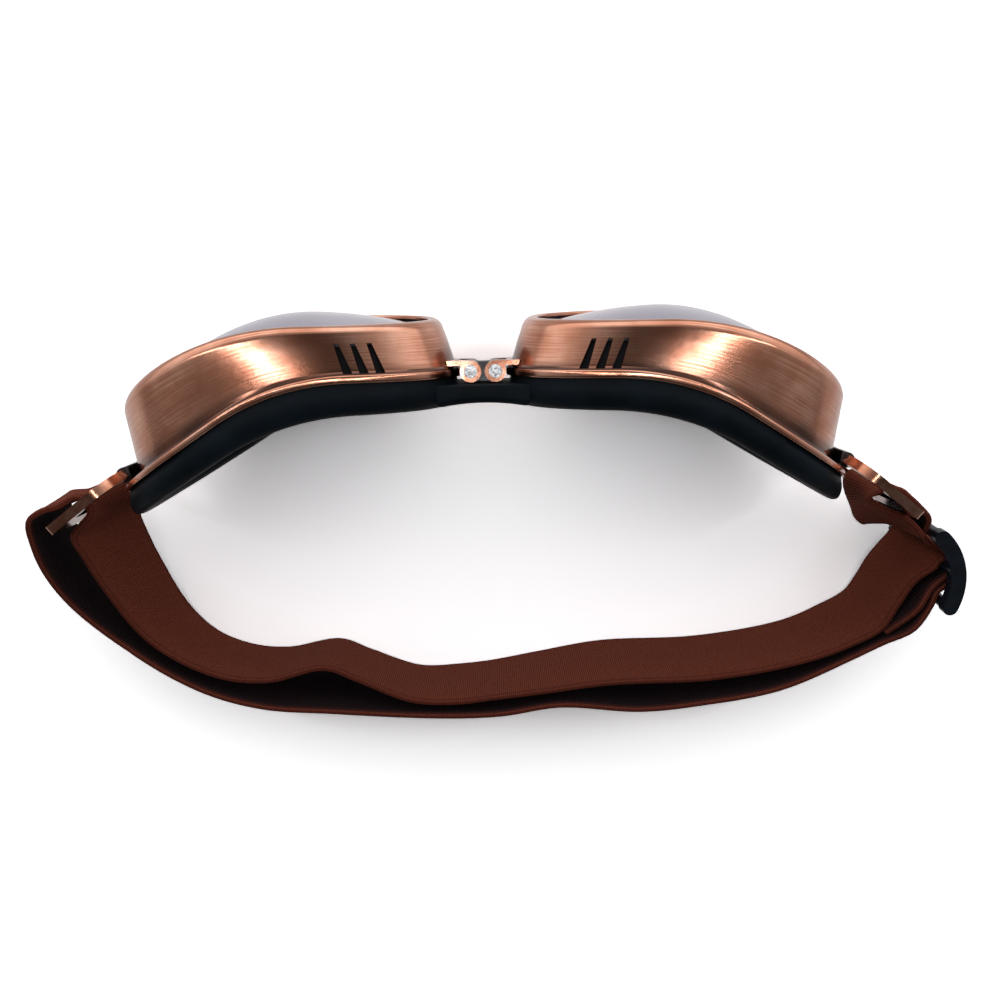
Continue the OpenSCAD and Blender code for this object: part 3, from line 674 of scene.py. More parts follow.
@dataclass(frozen=True)
class WovenElastic:
    """Dark reddish-brown woven elastic: ribs across it, yarns along it, and firm selvages."""

    base: str = "#5b2b1f"
    shade: str = "#28100b"
    lit: str = "#874835"
    selvage: str = "#47211a"
    rib_mm: float = 0.56
    yarn_mm: float = 0.62
    width_mm: float = 28.0

    def material(self, name: str) -> bpy.types.Material:
        """Makes the webbing on the strap's UV map, which holds millimetres along and across.

        Ribs and yarns are sine waves of the two map directions, multiplied, with a noise that
        makes single picks lighter and darker. The selvage is a band 1.4 mm wide at each edge.

        Args:
            name: The material's name.

        Returns:
            The material.
        """
        material, tree = new_material(name)
        places = add_node(tree, "ShaderNodeTexCoord")
        along = add_node(tree, "ShaderNodeSeparateXYZ", inputs={0: places.outputs["UV"]})

        def wave(socket: bpy.types.NodeSocket, pitch: float, turn: float) -> bpy.types.NodeSocket:
            """A sine of the given pitch in millimetres, raised to run from 0 to 1."""
            angle = add_node(tree, "ShaderNodeMath", {"operation": "MULTIPLY_ADD"}, {
                0: socket, 1: 2 * math.pi / pitch, 2: turn})
            sine = add_node(tree, "ShaderNodeMath", {"operation": "SINE"}, {0: angle.outputs[0]})
            return add_node(tree, "ShaderNodeMath", {"operation": "MULTIPLY_ADD"}, {
                0: sine.outputs[0], 1: 0.5, 2: 0.5}).outputs[0]

        jitter = add_node(tree, "ShaderNodeTexNoise", {"noise_dimensions": "2D"}, {
            "Vector": add_node(tree, "ShaderNodeMapping", inputs={
                "Vector": places.outputs["UV"], "Scale": (1.1, 1.5, 1.0)}).outputs[0],
            "Scale": 1.0, "Detail": 3.0, "Roughness": 0.7})
        shifted = add_node(tree, "ShaderNodeMath", {"operation": "MULTIPLY_ADD"}, {
            0: jitter.outputs["Fac"], 1: 0.5, 2: along.outputs["X"]})
        ribs = wave(shifted.outputs[0], self.rib_mm, 0.0)
        yarns = wave(along.outputs["Y"], self.yarn_mm, 0.8)
        weave = add_node(tree, "ShaderNodeMath", {"operation": "MULTIPLY"}, {0: ribs, 1: yarns})
        height = add_node(tree, "ShaderNodeMath", {"operation": "MULTIPLY_ADD"}, {
            0: jitter.outputs["Fac"], 1: 0.55, 2: weave.outputs[0]})
        colour = add_node(tree, "ShaderNodeValToRGB", {"stops": [
            (0.0, linear(self.shade)), (0.45, linear(self.base)), (1.0, linear(self.lit))]},
            {"Fac": height.outputs[0]})
        # The selvage: yarns packed tighter, so it is a little darker than the face
        centred = add_node(tree, "ShaderNodeMath", {"operation": "ABSOLUTE"}, {
            0: along.outputs["Y"]})
        edge = add_node(tree, "ShaderNodeMapRange", {"interpolation_type": "SMOOTHSTEP"}, {
            "Value": centred.outputs[0], "From Min": self.width_mm / 2 - 1.7,
            "From Max": self.width_mm / 2 - 1.2, "To Min": 0.0, "To Max": 0.55})
        tinted = add_node(tree, "ShaderNodeMix", {"data_type": "RGBA"}, {
            0: edge.outputs[0], 6: colour.outputs["Color"], 7: linear(self.selvage)})
        relief = add_node(tree, "ShaderNodeBump", inputs={
            "Strength": 0.4, "Distance": 0.0002, "Height": height.outputs[0]})
        shader = add_node(tree, "ShaderNodeBsdfPrincipled", inputs={
            "Base Color": tinted.outputs[2], "Roughness": 0.9, "Specular IOR Level": 0.04,
            "Normal": relief.outputs[0]})
        finish_material(tree, shader)
        return material


# ---- Eye cups -------------------------------------------------------------------------------

@dataclass(frozen=True)
class CupForm:
    """The sizes that shape a cup, in millimetres and degrees, and the oval that they give."""

    wall_w: float = 82.6
    wall_h: float = 56.0
    depth: float = 14.2
    sheet: float = 1.3
    rim_w: float = 3.0
    rim_t: float = 1.1
    nose_half: float = 6.4
    power: float = 2.5
    skew: float = 0.12
    flange_t: float = 1.45
    bead_t: float = 1.85
    flange_nose: float = 0.3
    flange_temple: float = 4.2
    flange_brow: float = 2.0
    back_set: float = 1.3
    nose_draw: float = 4.5
    temple_draw: float = 3.0
    taper: float = 1 / 28
    front_lean: float = 3.0
    back_flat: float = 30.0
    back_radius: float = 58.0
    back_slope: float = 32.0
    front_flat: float = 42.0
    front_radius: float = 70.0
    front_slope: float = 50.0

    @property
    def mid_z(self) -> float:
        """Height of the middle of a cup over the surface it stands on."""
        return self.wall_h / 2 + self.flange_brow

    @staticmethod
    def drop(x: Array, flat: float, radius: float, slope: float) -> Array:
        """How far a curve that is flat up to a place has dropped at x.

        Up to the flat's end nothing, then an arc of the radius, and past the arc a straight
        line at the slope.
        """
        run = np.maximum(np.asarray(x, float) - flat, 0)
        turn = math.radians(slope)
        arc_run = radius * math.sin(turn)
        arc = radius - np.sqrt(np.maximum(radius ** 2 - np.minimum(run, arc_run) ** 2, 0))
        return arc + np.maximum(run - arc_run, 0) * math.tan(turn)

    def back_y(self, x: Array) -> Array:
        """The back of the flange at x."""
        return -self.back_set - self.drop(x, self.back_flat, self.back_radius, self.back_slope)

    def front_y(self, x: Array) -> Array:
        """The front of the rim at x."""
        return self.depth - self.back_set - self.drop(x, self.front_flat, self.front_radius,
                                                        self.front_slope)

    def oval(self, turn: Array, mix: Array, inset: Array, q: Array, dy: Array,
             r: Array | float = 1.0) -> Array:
        """Points on a skewed superellipse that bends with the face.

        The outline is that of the wall where mix is 0 and of the flange where it is 1, moved in
        by inset and drawn together by r. It lies on the back where q is 0 and on the front
        where q is 1, moved forwards by dy. With draft, the wall leans away from the nose.

        Args:
            turn: Angle round the oval in degrees, from the temple over the brow.
            mix: Share of the flange outline.
            inset: Distance inside the outline.
            q: Share of the depth.
            dy: Distance forwards.
            r: Share of the radius.

        Returns:
            Points in the frame of the right cup, in millimetres.
        """
        wall_a, wall_b = self.wall_w / 2, self.wall_h / 2
        flange_a = (self.wall_w + self.flange_nose + self.flange_temple) / 2
        flange_b = wall_b + self.flange_brow
        wall_c, flange_c = self.nose_half + wall_a, self.nose_half - self.flange_nose + flange_a
        angle = np.radians(turn)
        size = (np.abs(np.cos(angle)) ** self.power
                + np.abs(np.sin(angle)) ** self.power) ** (-1 / self.power)
        a = (wall_a + (flange_a - wall_a) * mix - inset) * r
        b = (wall_b + (flange_b - wall_b) * mix - inset) * r
        across = size * np.cos(angle)
        w = b * size * np.sin(angle) * (1 - q * self.taper)
        lean = (1 + r * across) / 2
        u = (wall_c + (flange_c - wall_c) * mix + a * across - self.skew * w
             + q * (self.nose_draw + (self.temple_draw - self.nose_draw) * lean))
        back, front = self.back_y(u), self.front_y(u)
        y = back + (front - back) * q + dy - q * w * math.tan(math.radians(self.front_lean))
        return np.stack([u, y, self.mid_z + w + 0 * u], -1)


@dataclass
class EyeCup:
    """One copper cup with its lens, seals and pad."""

    side: Side
    place: Place
    form: CupForm = field(default_factory=CupForm)
    steps: int = 288
    vent_count: int = 3
    vent_pitch: float = 3.65
    vent_foot: float = 2.1
    vent_tip: float = 1.1
    vent_length: float = 6.8
    vent_start: float = 23.2
    vent_above_flange: float = 0.75
    vent_lean: float = 2.5
    pad_t: float = 7.2
    pad_swell: float = 0.8
    pad_w: float = 8.2
    lens_t: float = 2.0
    lens_dome: float = 4.6
    lens_flat: float = 0.92
    lens_at: float = 2.0

    def shell_profile(self) -> Array:
        """The closed section of the shell as rows of outline share, inset, depth share and rise.

        It runs from the inner edge of the back over the flange with its rolled bead, up the
        wall, over the rolled shoulder and the rim, and down the inside.
        """
        f = self.form
        roll = np.radians(np.linspace(8, 90, 8))
        shoulder = np.stack([0 * roll, 1.6 * (1 - np.cos(roll)), 0.865 + 0.135 * np.sin(roll),
                             0 * roll], -1)
        corners = np.array([
            [0, f.sheet, 0, 0], [0.86, 0, 0, 0], [1, 0, 0, 0.2 * f.bead_t],
            [1, 0, 0, 0.8 * f.bead_t], [0.9, 0, 0, f.bead_t], [0.77, 0, 0, f.bead_t],
            [0.66, 0, 0, f.flange_t], [0.12, 0, 0, f.flange_t + 0.02],
            [0, 0, 0.05, f.flange_t + 0.12], [0, 0, 0.2, 0.0], [0, 0, 0.36, 0], [0, 0, 0.53, 0],
            [0, 0, 0.7, 0], *shoulder.tolist(), [0, f.rim_w - 0.25, 1, -0.02],
            [0, f.rim_w, 1, -0.25], [0, f.rim_w, 1, -f.rim_t], [0, f.sheet, 1, -f.rim_t],
            [0, f.sheet, 0.5, -f.rim_t / 2]])
        cuts = np.full(len(corners), 0.25)
        cuts[[9, 10, 11, 12]] = 0.02
        scaled = corners * np.array([4.0, 1, f.depth, 1])
        return rounded(scaled, cuts) / np.array([4.0, 1, f.depth, 1])

    def build_shell(self) -> bpy.types.Object:
        """Builds the shell from its section carried round the oval, and cuts its vents.

        Returns:
            The shell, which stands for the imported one.
        """
        rows = self.shell_profile()
        turn = np.linspace(0, 360, self.steps, endpoint=False)
        grid = self.form.oval(turn[None, :], *(rows[:, k:k + 1] for k in range(4)))
        top = np.concatenate([grid[:, self.steps // 4], grid[:1, self.steps // 4]])
        v = lengths_along(top)
        u = lengths_along(np.concatenate([grid[len(rows) // 2], grid[len(rows) // 2][:1]]))
        uv = np.stack(np.broadcast_arrays(u[None, :], v[:, None]), -1)
        shell = surface(f"{self.side.word}_copper_shell", self.place.row(grid, self.side), True,
                        True, uv, 50)
        self.foot_mm = float(v[np.argmax(rows[:, 2] > 0.03)])
        self.cut_vents(shell)
        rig.replaces(shell, f"{self.side.word}_cup_shell")
        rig.ride(shell, f"{self.side.word}_cup")
        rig.slot(shell, "copper")
        return shell

    def vent_cutter(self, index: int, up: int) -> bpy.types.Object:
        """One tapered slot with square ends, extruded through the wall.

        Args:
            index: Which slot of the row, from the nose outwards.
            up: 1 for the brow, -1 for the cheek.

        Returns:
            The cutting body.
        """
        f = self.form
        foot = np.array([self.vent_start + index * self.vent_pitch, self.vent_above_flange])
        tip = foot + [self.vent_lean, self.vent_length]
        wide, thin = [self.vent_foot / 2, 0], [self.vent_tip / 2, 0]
        outline = np.array([foot - wide, foot + wide, tip + thin, tip - thin])
        shift = 0.0 if up > 0 else 2 * f.skew * f.wall_h / 2
        rise = (0.0 if up > 0 else 1.0)
        low = f.mid_z + (f.wall_h * 0.3 if up > 0 else -f.wall_h / 2 - 2)
        high = low + f.wall_h * 0.2 + 2
        grid = np.stack([np.column_stack([outline + [shift, rise], np.full(len(outline), z)])
                         for z in (low, high)])
        return surface(f"{self.side.word}_vent_cutter", self.place.row(grid, self.side), False, True)

    def cut_vents(self, shell: bpy.types.Object) -> None:
        """Cuts both rows of vents out of the shell and deletes the cutting bodies."""
        for up in (1, -1):
            for index in range(self.vent_count):
                cutter = self.vent_cutter(index, up)
                change = shell.modifiers.new("vent", "BOOLEAN")
                change.operation, change.solver, change.object = "DIFFERENCE", "EXACT", cutter
                bpy.context.view_layer.objects.active = shell
                bpy.ops.object.modifier_apply(modifier=change.name)
                bpy.data.objects.remove(cutter, do_unlink=True)
        shell.data.set_sharp_from_angle(angle=math.radians(50))

    def seat(self, depth: Array, inset: float, rise: Array, r: Array, turn: Array) -> Array:
        """Points inside the wall at a depth behind the front, along the wall's inner face."""
        f = self.form
        q = (f.depth - depth) / (f.depth - f.rim_t)
        return f.oval(turn, 0.0, inset, q, rise - f.rim_t * q, r)

    def build_lens(self) -> bpy.types.Object:
        """Builds the lens: two domes over one edge.

        The dome's height is that of a parabola of the radius share, and nothing on the flat
        edge that the gasket holds. Rows run from the middle of the back to the middle of the
        front, and the smallest ring is closed by a cap.

        Returns:
            The lens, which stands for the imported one.
        """
        f = self.form
        r = np.linspace(0.02, 1, 26)
        dome = np.maximum(0, self.lens_dome * (1 - (r / self.lens_flat) ** 2))
        shares = np.concatenate([r, r[::-1]])[:, None]
        rise = np.concatenate([dome, dome[::-1]])[:, None]
        depth = np.where(np.arange(len(shares)) < len(r), self.lens_at + self.lens_t,
                         self.lens_at)[:, None]
        turn = np.linspace(0, 360, 144, endpoint=False)[None, :]
        grid = self.seat(depth, f.sheet + 0.2, rise, shares, turn)
        lens = surface(f"{self.side.word}_clear_lens", self.place.row(grid, self.side), False,
                       True, None, 60)
        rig.replaces(lens, f"{self.side.word}_lens")
        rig.ride(lens, f"{self.side.word}_cup")
        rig.slot(lens, "lens")
        return lens

    def build_pad(self) -> bpy.types.Object:
        """Builds the pad: a crowned section carried round the flange.

        The section is a half superellipse of the pad's width and depth, whose sides draw in
        towards the flange, and its depth swells in the middle of the cup by a sine of x.

        Returns:
            The pad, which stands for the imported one.
        """
        f = self.form
        t = np.linspace(0, math.pi, 25)
        bow = np.sin(t) ** 0.62
        across = 0.5 - 0.5 * np.sign(np.cos(t)) * np.abs(np.cos(t)) ** 0.8
        waist = 0.06 * (1 - np.minimum(1, bow / 0.35)) * np.sign(0.5 - across)
        share = np.clip(across + waist, 0.0, 1.0)[:, None]
        turn = np.linspace(0, 360, self.steps, endpoint=False)[None, :]
        base = f.oval(turn, 1.0, 0.6 + share * self.pad_w, 0.0, -0.05)
        swell = self.pad_t + self.pad_swell * np.sin(
            np.pi * np.clip((base[..., 0] - f.nose_half) / (f.wall_w + 10), 0, 1))
        ripple = 1 + 0.008 * np.sin(np.radians(turn * 5) + 1.3)
        grid = base - np.stack([0 * swell, bow[:, None] * swell * ripple, 0 * swell], -1)
        pad = surface(f"{self.side.word}_rubber_pad", self.place.row(grid, self.side), True, True,
                      None, 70)
        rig.replaces(pad, f"{self.side.word}_face_pad")
        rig.ride(pad, f"{self.side.word}_cup")
        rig.slot(pad, "pad_rubber")
        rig.padded(pad, fill=0.85)
        return pad

    def build_lining(self) -> bpy.types.Object:
        """Builds a thin dark band inside the wall, behind the vents, which shows dark through them.

        Its section is a rectangle between two insets of the wall and two shares of the depth.

        Returns:
            The band.
        """
        outer, inner = self.form.sheet + 0.06, self.form.sheet + 0.5
        rows = np.array([[0, outer, 0.1, 0], [0, outer, 0.62, 0], [0, inner, 0.62, 0],
                         [0, inner, 0.1, 0]])
        turn = np.linspace(0, 360, self.steps, endpoint=False)
        grid = self.form.oval(turn[None, :], *(rows[:, k:k + 1] for k in range(4)))
        band = surface(f"{self.side.word}_vent_lining", self.place.row(grid, self.side), True,
                       True)
        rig.ride(band, f"{self.side.word}_cup")
        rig.slot(band, "rubber")
        return band

    def build(self, copper: AntiquedCopper, rubber: bpy.types.Material,
              glass: bpy.types.Material, lining: bpy.types.Material) -> None:
        """Builds and dresses the cup.

        Args:
            copper: The finish of the shell.
            rubber: The pad's material.
            glass: The lens's material.
            lining: The lining's material.
        """
        shell = self.build_shell()
        shell.data.materials.clear()
        shell.data.materials.append(
            copper.material(f"Antiqued copper plate, {self.side.word} cup", self.foot_mm))
        for piece, material in ((self.build_lens(), glass), (self.build_pad(), rubber),
                                (self.build_lining(), lining)):
            piece.data.materials.append(material)
            LOG.info("built %s", piece.name)


@dataclass
class PadWeb:
    """The soft web that joins the two pads behind the nose hinge."""

    place: Place
    form: CupForm = field(default_factory=CupForm)
    front: float = 2.9
    back: float = 7.3
    low: float = 25.0
    high: float = 49.0

    def build(self, side: Side, rubber: bpy.types.Material) -> bpy.types.Object:
        """Builds one half: a rounded section of depth and height, drawn out to the pad.

        Each station is a share of the way from the midline to the pad's outer side at that
        height, which is solved from the flange's superellipse. The back sinks by a parabola of
        that share, so that the web sags like a saddle.

        Args:
            side: The half to build.
            rubber: The pad's material.

        Returns:
            The half web.
        """
        f = self.form
        corners = np.array([[-self.front, self.low], [-self.back, self.low],
                            [-self.back, self.high], [-self.front, self.high]])
        ring = rounded(corners, np.array([0.5, 1.8, 1.8, 0.5]), 8)
        flange_a = (f.wall_w + f.flange_nose + f.flange_temple) / 2 - 0.6
        flange_b = f.wall_h / 2 + f.flange_brow - 0.6
        w = ring[:, 1] - f.mid_z
        reach = (1 - np.abs(w / flange_b) ** f.power) ** (1 / f.power)
        middle = f.nose_half - f.flange_nose + (f.wall_w + f.flange_nose + f.flange_temple) / 2
        end = middle - flange_a * reach - f.skew * w + 0.25
        share = np.linspace(0, 1, 12)[:, None]
        x = share * end[None, :]
        sink = np.where(ring[:, 0] < -5, -0.9, 0.0)[None, :] * share ** 2
        grid = np.stack([x, ring[None, :, 0] + sink, np.broadcast_to(ring[:, 1], x.shape)], -1)
        web = surface(f"{side.word}_pad_web", self.place.row(grid, side), False, True, None, 60)
        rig.replaces(web, "pad_bridge")
        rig.slot(web, "pad_rubber")
        web.data.materials.append(rubber)
        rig.padded(web, fill=0.9)
        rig.blend(web, "bridge", f"{side.word}_cup", start=self.place.spot(side.value * 1.5, -5, 37),
                 end=self.place.spot(side.value * 8.5, -5, 37))
        LOG.info("built %s", web.name)
        return web


# ---- Strap ----------------------------------------------------------------------------------

@dataclass(frozen=True)
class StrapLayout:
    """Sizes of the strap and of what it passes through, in millimetres and degrees."""

    width: float = 28.0
    thick: float = 1.5
    gap: float = 0.3
    clip_x: float = 91.8
    clip_r: float = 2.0
    clip_gap: float = 0.6
    plate_out: float = -0.1
    ring_t: float = 2.4
    ring_reach: float = 20.0
    slot_reach: float = 14.0
    left_angle: float = 37.0
    right_angle: float = 39.5
    slider_turn: float = 103.5
    slider_tilt: float = 6.0
    slider_pitch: float = 10.2
    slider_bow: float = 3.1
    rail_out: float = 0.3
    rail_h: float = 2.6
    slider_lift: float = 2.7
    room: float = 2.4
    bar_r: float = 1.2
    end_bar_r: float = 1.5

    @property
    def clip_y(self) -> float:
        """Where the ring's rod stands, in front of the flange."""
        form = CupForm()
        return float(form.back_y(self.clip_x)) + form.bead_t + (
            self.clip_r + self.clip_gap) / math.cos(math.radians(form.back_slope))

    @property
    def ring_lift(self) -> float:
        """Height of the strap's lower edge in a ring."""
        return CupForm().mid_z - self.width / 2 - 0.7

    @property
    def middle_out(self) -> float:
        """How far out of the slider's line its middle bar lies."""
        return self.rail_out - 1.2

    @property
    def end_out(self) -> float:
        """How far out of the slider's line its end bars lie."""
        return self.rail_out - self.slider_bow

    def on_ring(self, side: Side, along: float, out: float) -> list[float]:
        """A plan point from the ring's rod: along the ring and forwards from its plate."""
        a = math.radians(self.left_angle if side is Side.LEFT else self.right_angle)
        ahead = out + self.plate_out
        return [side.value * (self.clip_x + along * math.cos(a) + ahead * math.sin(a)),
                self.clip_y - along * math.sin(a) + ahead * math.cos(a)]

    def on_slider(self, along: float, out: float) -> list[float]:
        """A plan point from the slider's middle: along it, and out of it."""
        a = math.radians(self.slider_turn)
        return [self.clip_x + 30.1 + along * math.cos(a) + out * math.sin(a),
                self.clip_y - 28.2 + along * math.sin(a) - out * math.cos(a)]

    def ring_knot(self, side: Side, along: float, out: float, lift: float,
                  lean_along: float = 0.0, lean_out: float = 0.0) -> list[float]:
        """A knot beside a ring: plan point, lift of the lower edge, lean of the upper edge."""
        here, leant = self.on_ring(side, 0, 0), self.on_ring(side, lean_along, lean_out)
        return [*self.on_ring(side, along, out), lift, leant[0] - here[0], leant[1] - here[1]]

    def slider_knot(self, along: float, out: float) -> list[float]:
        """A knot beside the slider, which leans back with it."""
        tilt, turn = math.radians(self.slider_tilt), math.radians(self.slider_turn)
        lift = self.slider_lift + self.rail_h + self.room / 2 + along * math.tan(tilt)
        lean = -self.width * math.sin(tilt)
        return [*self.on_slider(along, out), lift, lean * math.cos(turn), lean * math.sin(turn)]


class Stretch(Enum):
    """The stretches of the strap from its sewn end on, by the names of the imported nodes."""

    TAIL = "strap_inner_tail"
    INNER_RIGHT = "strap_inner_right"
    INNER_LEFT = "strap_inner_left"
    LEFT_LOOP = "strap_left_loop"
    OUTER_LEFT = "strap_outer_left"
    OUTER_RIGHT = "strap_outer_right"
    WEAVE = "strap_slider_weave"
    RIGHT_LOOP = "strap_right_loop"


@dataclass
class Strap:
    """One elastic strip, cut into pieces only where it passes from body to body."""

    place: Place
    layout: StrapLayout = field(default_factory=StrapLayout)
    step_mm: float = 0.7

    def knots(self) -> dict[Stretch, list[list[float]]]:
        """The places that the strap passes, chosen from above, stretch by stretch."""
        s = self.layout
        left, right = Side.LEFT, Side.RIGHT
        wrap = s.thick / 2 + s.gap
        tail = s.bar_r + wrap
        weave = tail + s.thick + s.gap
        inside = s.end_out - s.end_bar_r - wrap - 0.4
        mid, lift, slot = s.middle_out, s.ring_lift, s.slot_reach
        front = s.ring_t / 2 + wrap
        return {
            Stretch.TAIL: [
                [109.0, -73.95, 1.4, 0, -1.6], s.slider_knot(-10.7, inside - 3.9),
                s.slider_knot(-5.4, inside + 0.6), s.slider_knot(-0.78 * tail, mid + 0.65 * tail),
                s.slider_knot(0, mid + tail), s.slider_knot(0.78 * tail, mid + 0.65 * tail),
                s.slider_knot(tail, mid), s.slider_knot(0.72 * tail, mid - 0.75 * tail),
                s.slider_knot(0.4, mid - tail - 0.6), [114.2, -59.2, 4, 1, 0]],
            Stretch.INNER_RIGHT: [
                [111.2, -66.4, 2, 0, -1], [108.0, -72.4, 1, 0, -2], [100.0, -77.5, 0, 0, -2],
                [87.6, -82.2, 0, -2, -2], [62.6, -86.4, 0, -1, -2], [33.1, -87.3, 0, 0, -2],
                [14.0, -90.0, 0, 0, -1]],
            Stretch.INNER_LEFT: [
                [0, -92.0, 0, 0, 0], [-9.7, -93.0, 0, 0, 0], [-22.4, -92.6, 0, 0, 1],
                [-37.4, -86.6, 0, 0, 2], [-46.4, -83.0, 0, 0, 2], [-62.3, -85.8, 0, 0, 1],
                [-74.0, -84.6, 0, -1, 1], [-86.2, -79.0, 0, -3, 2], [-94.0, -70.8, 1, -4, 1]],
            Stretch.LEFT_LOOP: [
                [-100.2, -54.0, 6.6, -5.5, 0], [-101.6, -46.5, 10, -6.2, 0],
                [-102.2, -39.8, 13.3, -6.6, 0],
                s.ring_knot(left, slot - 2.8, -3, lift, 1, 1),
                s.ring_knot(left, slot - 4, -0.6, lift), s.ring_knot(left, slot - 4, 1.4, lift),
                s.ring_knot(left, slot - 2.4, 3, lift), s.ring_knot(left, slot, 3.5, lift),
                s.ring_knot(left, slot + 2.6, 4, lift), [-111, -32.4, 16, 0, 0],
                [-116, -34.3, 15, 2, -2], [-117.4, -41.8, 12, 2, 0]],
            Stretch.OUTER_LEFT: [
                [-116.6, -50.7, 8, 1, 0], [-112.4, -61.7, 3, 0, 0], [-99.8, -75.4, 0, 0, 0],
                [-81.4, -87.6, 0, 0, 0], [-65.0, -93.1, 0, 0, 0], [-45.5, -95.0, 0, 0, 0],
                [-14.6, -97.1, 0, 0, 0]],
            Stretch.OUTER_RIGHT: [
                [2.3, -96.9, 0, 0, 0], [19.2, -94.6, 0, 0, 0], [41.7, -96.4, 0, 0, 0],
                [58.5, -95.0, 0, 0, 0], [80.7, -91.0, 0, 0, 0], [99.3, -82.9, 0, 0, 0]],
            Stretch.WEAVE: [
                [108.3, -77.0, 1.2, 0, -1.6], s.slider_knot(-16.2, inside - 5.7),
                s.slider_knot(-s.slider_pitch, inside),
                s.slider_knot(-s.slider_pitch + 3, inside + 1.6), s.slider_knot(-4.6, mid + 1.2),
                s.slider_knot(-2.3, mid + weave - 0.7), s.slider_knot(0, mid + weave),
                s.slider_knot(2.3, mid + weave - 0.7), s.slider_knot(4.6, mid + 1.2),
                s.slider_knot(s.slider_pitch - 3, inside + 1.6)],
            Stretch.RIGHT_LOOP: [
                s.slider_knot(s.slider_pitch, inside),
                s.ring_knot(right, s.ring_reach + 7, 1.6, 11.2),
                s.ring_knot(right, s.ring_reach + 1.5, front, 13.4),
                s.ring_knot(right, slot + 3, front, lift - 0.4),
                s.ring_knot(right, slot + 0.4, front, lift),
                s.ring_knot(right, slot - 1.5, 1.4, lift),
                s.ring_knot(right, slot - 2.7, -0.8, lift, -1.5, 0),
                s.ring_knot(right, slot - 2.2, -3.1, lift + 0.4, -5, 0.4),
                s.ring_knot(right, slot - 0.2, -5.0, lift + 0.8, -9.5, 1.5),
                s.ring_knot(right, slot + 3.6, -5.5, lift - 0.2, -7.5, 3.5),
                s.ring_knot(right, s.ring_reach + 3, -4.6, lift - 1.4, -5, 5.5),
                s.ring_knot(right, s.ring_reach + 6.4, -3.5, lift - 3.4, -2, 3.5),
                s.ring_knot(right, s.ring_reach + 9.2, -2.7, lift - 4.6, 0, 0.6)]}

    def route(self) -> tuple[Array, Array]:
        """The whole route as stations every step, and the number of the knot before each.

        Between two knots it is a centripetal Catmull-Rom curve: three rounds of linear blends
        over knot times that grow by the square root of the distance. The lower edge is kept
        from dipping under the ground.

        Returns:
            Stations of shape (n, 5), and n knot numbers with their fraction.
        """
        knots = np.array([k for stretch in Stretch for k in self.knots()[stretch]], float)
        ends = np.stack([2 * knots[0] - knots[1], 2 * knots[-1] - knots[-2]])
        p = np.concatenate([ends[:1], knots, ends[1:]])
        gaps = np.maximum(0.2, np.sqrt(np.linalg.norm(np.diff(p[:, :3], axis=0), axis=1)))
        span = np.linalg.norm(np.diff(knots[:, :3], axis=0), axis=1)
        counts = np.maximum(3, np.ceil(span / self.step_mm)).astype(int)
        index = np.repeat(np.arange(len(counts)), counts)
        inside = np.arange(len(index)) - np.repeat(np.cumsum(counts) - counts, counts)
        f = inside / counts[index]
        index, f = np.append(index, len(counts) - 1), np.append(f, 1.0)
        t1 = gaps[index]
        t2 = t1 + gaps[index + 1]
        t3 = t2 + gaps[index + 2]
        t = t1 + (t2 - t1) * f

        def blend(a: Array, b: Array, start: Array | float, end: Array) -> Array:
            """A linear blend of two sets of points over knot times."""
            start = np.broadcast_to(start, end.shape)
            return ((end - t)[:, None] * a + (t - start)[:, None] * b) / (end - start)[:, None]

        a1 = blend(p[index], p[index + 1], 0.0, t1)
        a2 = blend(p[index + 1], p[index + 2], t1, t2)
        a3 = blend(p[index + 2], p[index + 3], t2, t3)
        line = blend(blend(a1, a2, 0.0, t2), blend(a2, a3, t1, t3), t1, t2)
        line[:, 2] = np.maximum(line[:, 2], 0)
        return line, index + f

    def section(self) -> Array:
        """The strap's section as shares of its width and thickness.

        Two long sides joined by half circles, with a selvage that stands a tenth proud.
        """
        half = self.layout.width / 2
        r = self.layout.thick / 2
        flat = np.linspace(-1, 1, 15) * (half - r)
        swell = 1 + 0.10 * (np.abs(flat) > half - 2.2) - 0.04 * (np.abs(flat) < half - 2.6)
        turn = np.radians(np.linspace(90, -90, 6))[1:-1]
        upper = np.stack([flat, r * swell], -1)
        right = np.stack([half - r + r * np.cos(turn), 1.06 * r * np.sin(turn)], -1)
        ring = np.concatenate([upper, right, -upper, -right])
        return ring

    def ribbon(self, name: str, line: Array, run: Array) -> bpy.types.Object:
        """Carries the section along a stretch of the route.

        At each station the upright is the lean of the strap, the heading is the way its middle
        runs, and the thickness lies along the cross product of the two.

        Args:
            name: The piece's name.
            line: Stations with one more at each end, which only give the heading.
            run: The length along the whole strap at each station.

        Returns:
            The piece.
        """
        s = self.layout
        middle = line[:, :3] + [0, 0, s.width / 2]
        heading = middle[2:] - middle[:-2]
        heading /= np.linalg.norm(heading, axis=1)[:, None]
        lean = line[1:-1, 3:5]
        up = np.column_stack([lean, np.sqrt(s.width ** 2 - (lean ** 2).sum(1))]) / s.width
        out = np.cross(heading, up)
        out /= np.linalg.norm(out, axis=1)[:, None]
        ring = self.section()
        grid = (middle[1:-1, None] + up[:, None] * ring[None, :, :1]
                + out[:, None] * ring[None, :, 1:])
        grid[..., 2] = np.maximum(grid[..., 2], 0)
        around = np.append(ring[:, 0], ring[0, 0])
        uv = np.stack(np.broadcast_arrays(run[1:-1, None], around[None, :]), -1)
        return surface(name, self.place.row(grid), False, True, uv, 60)

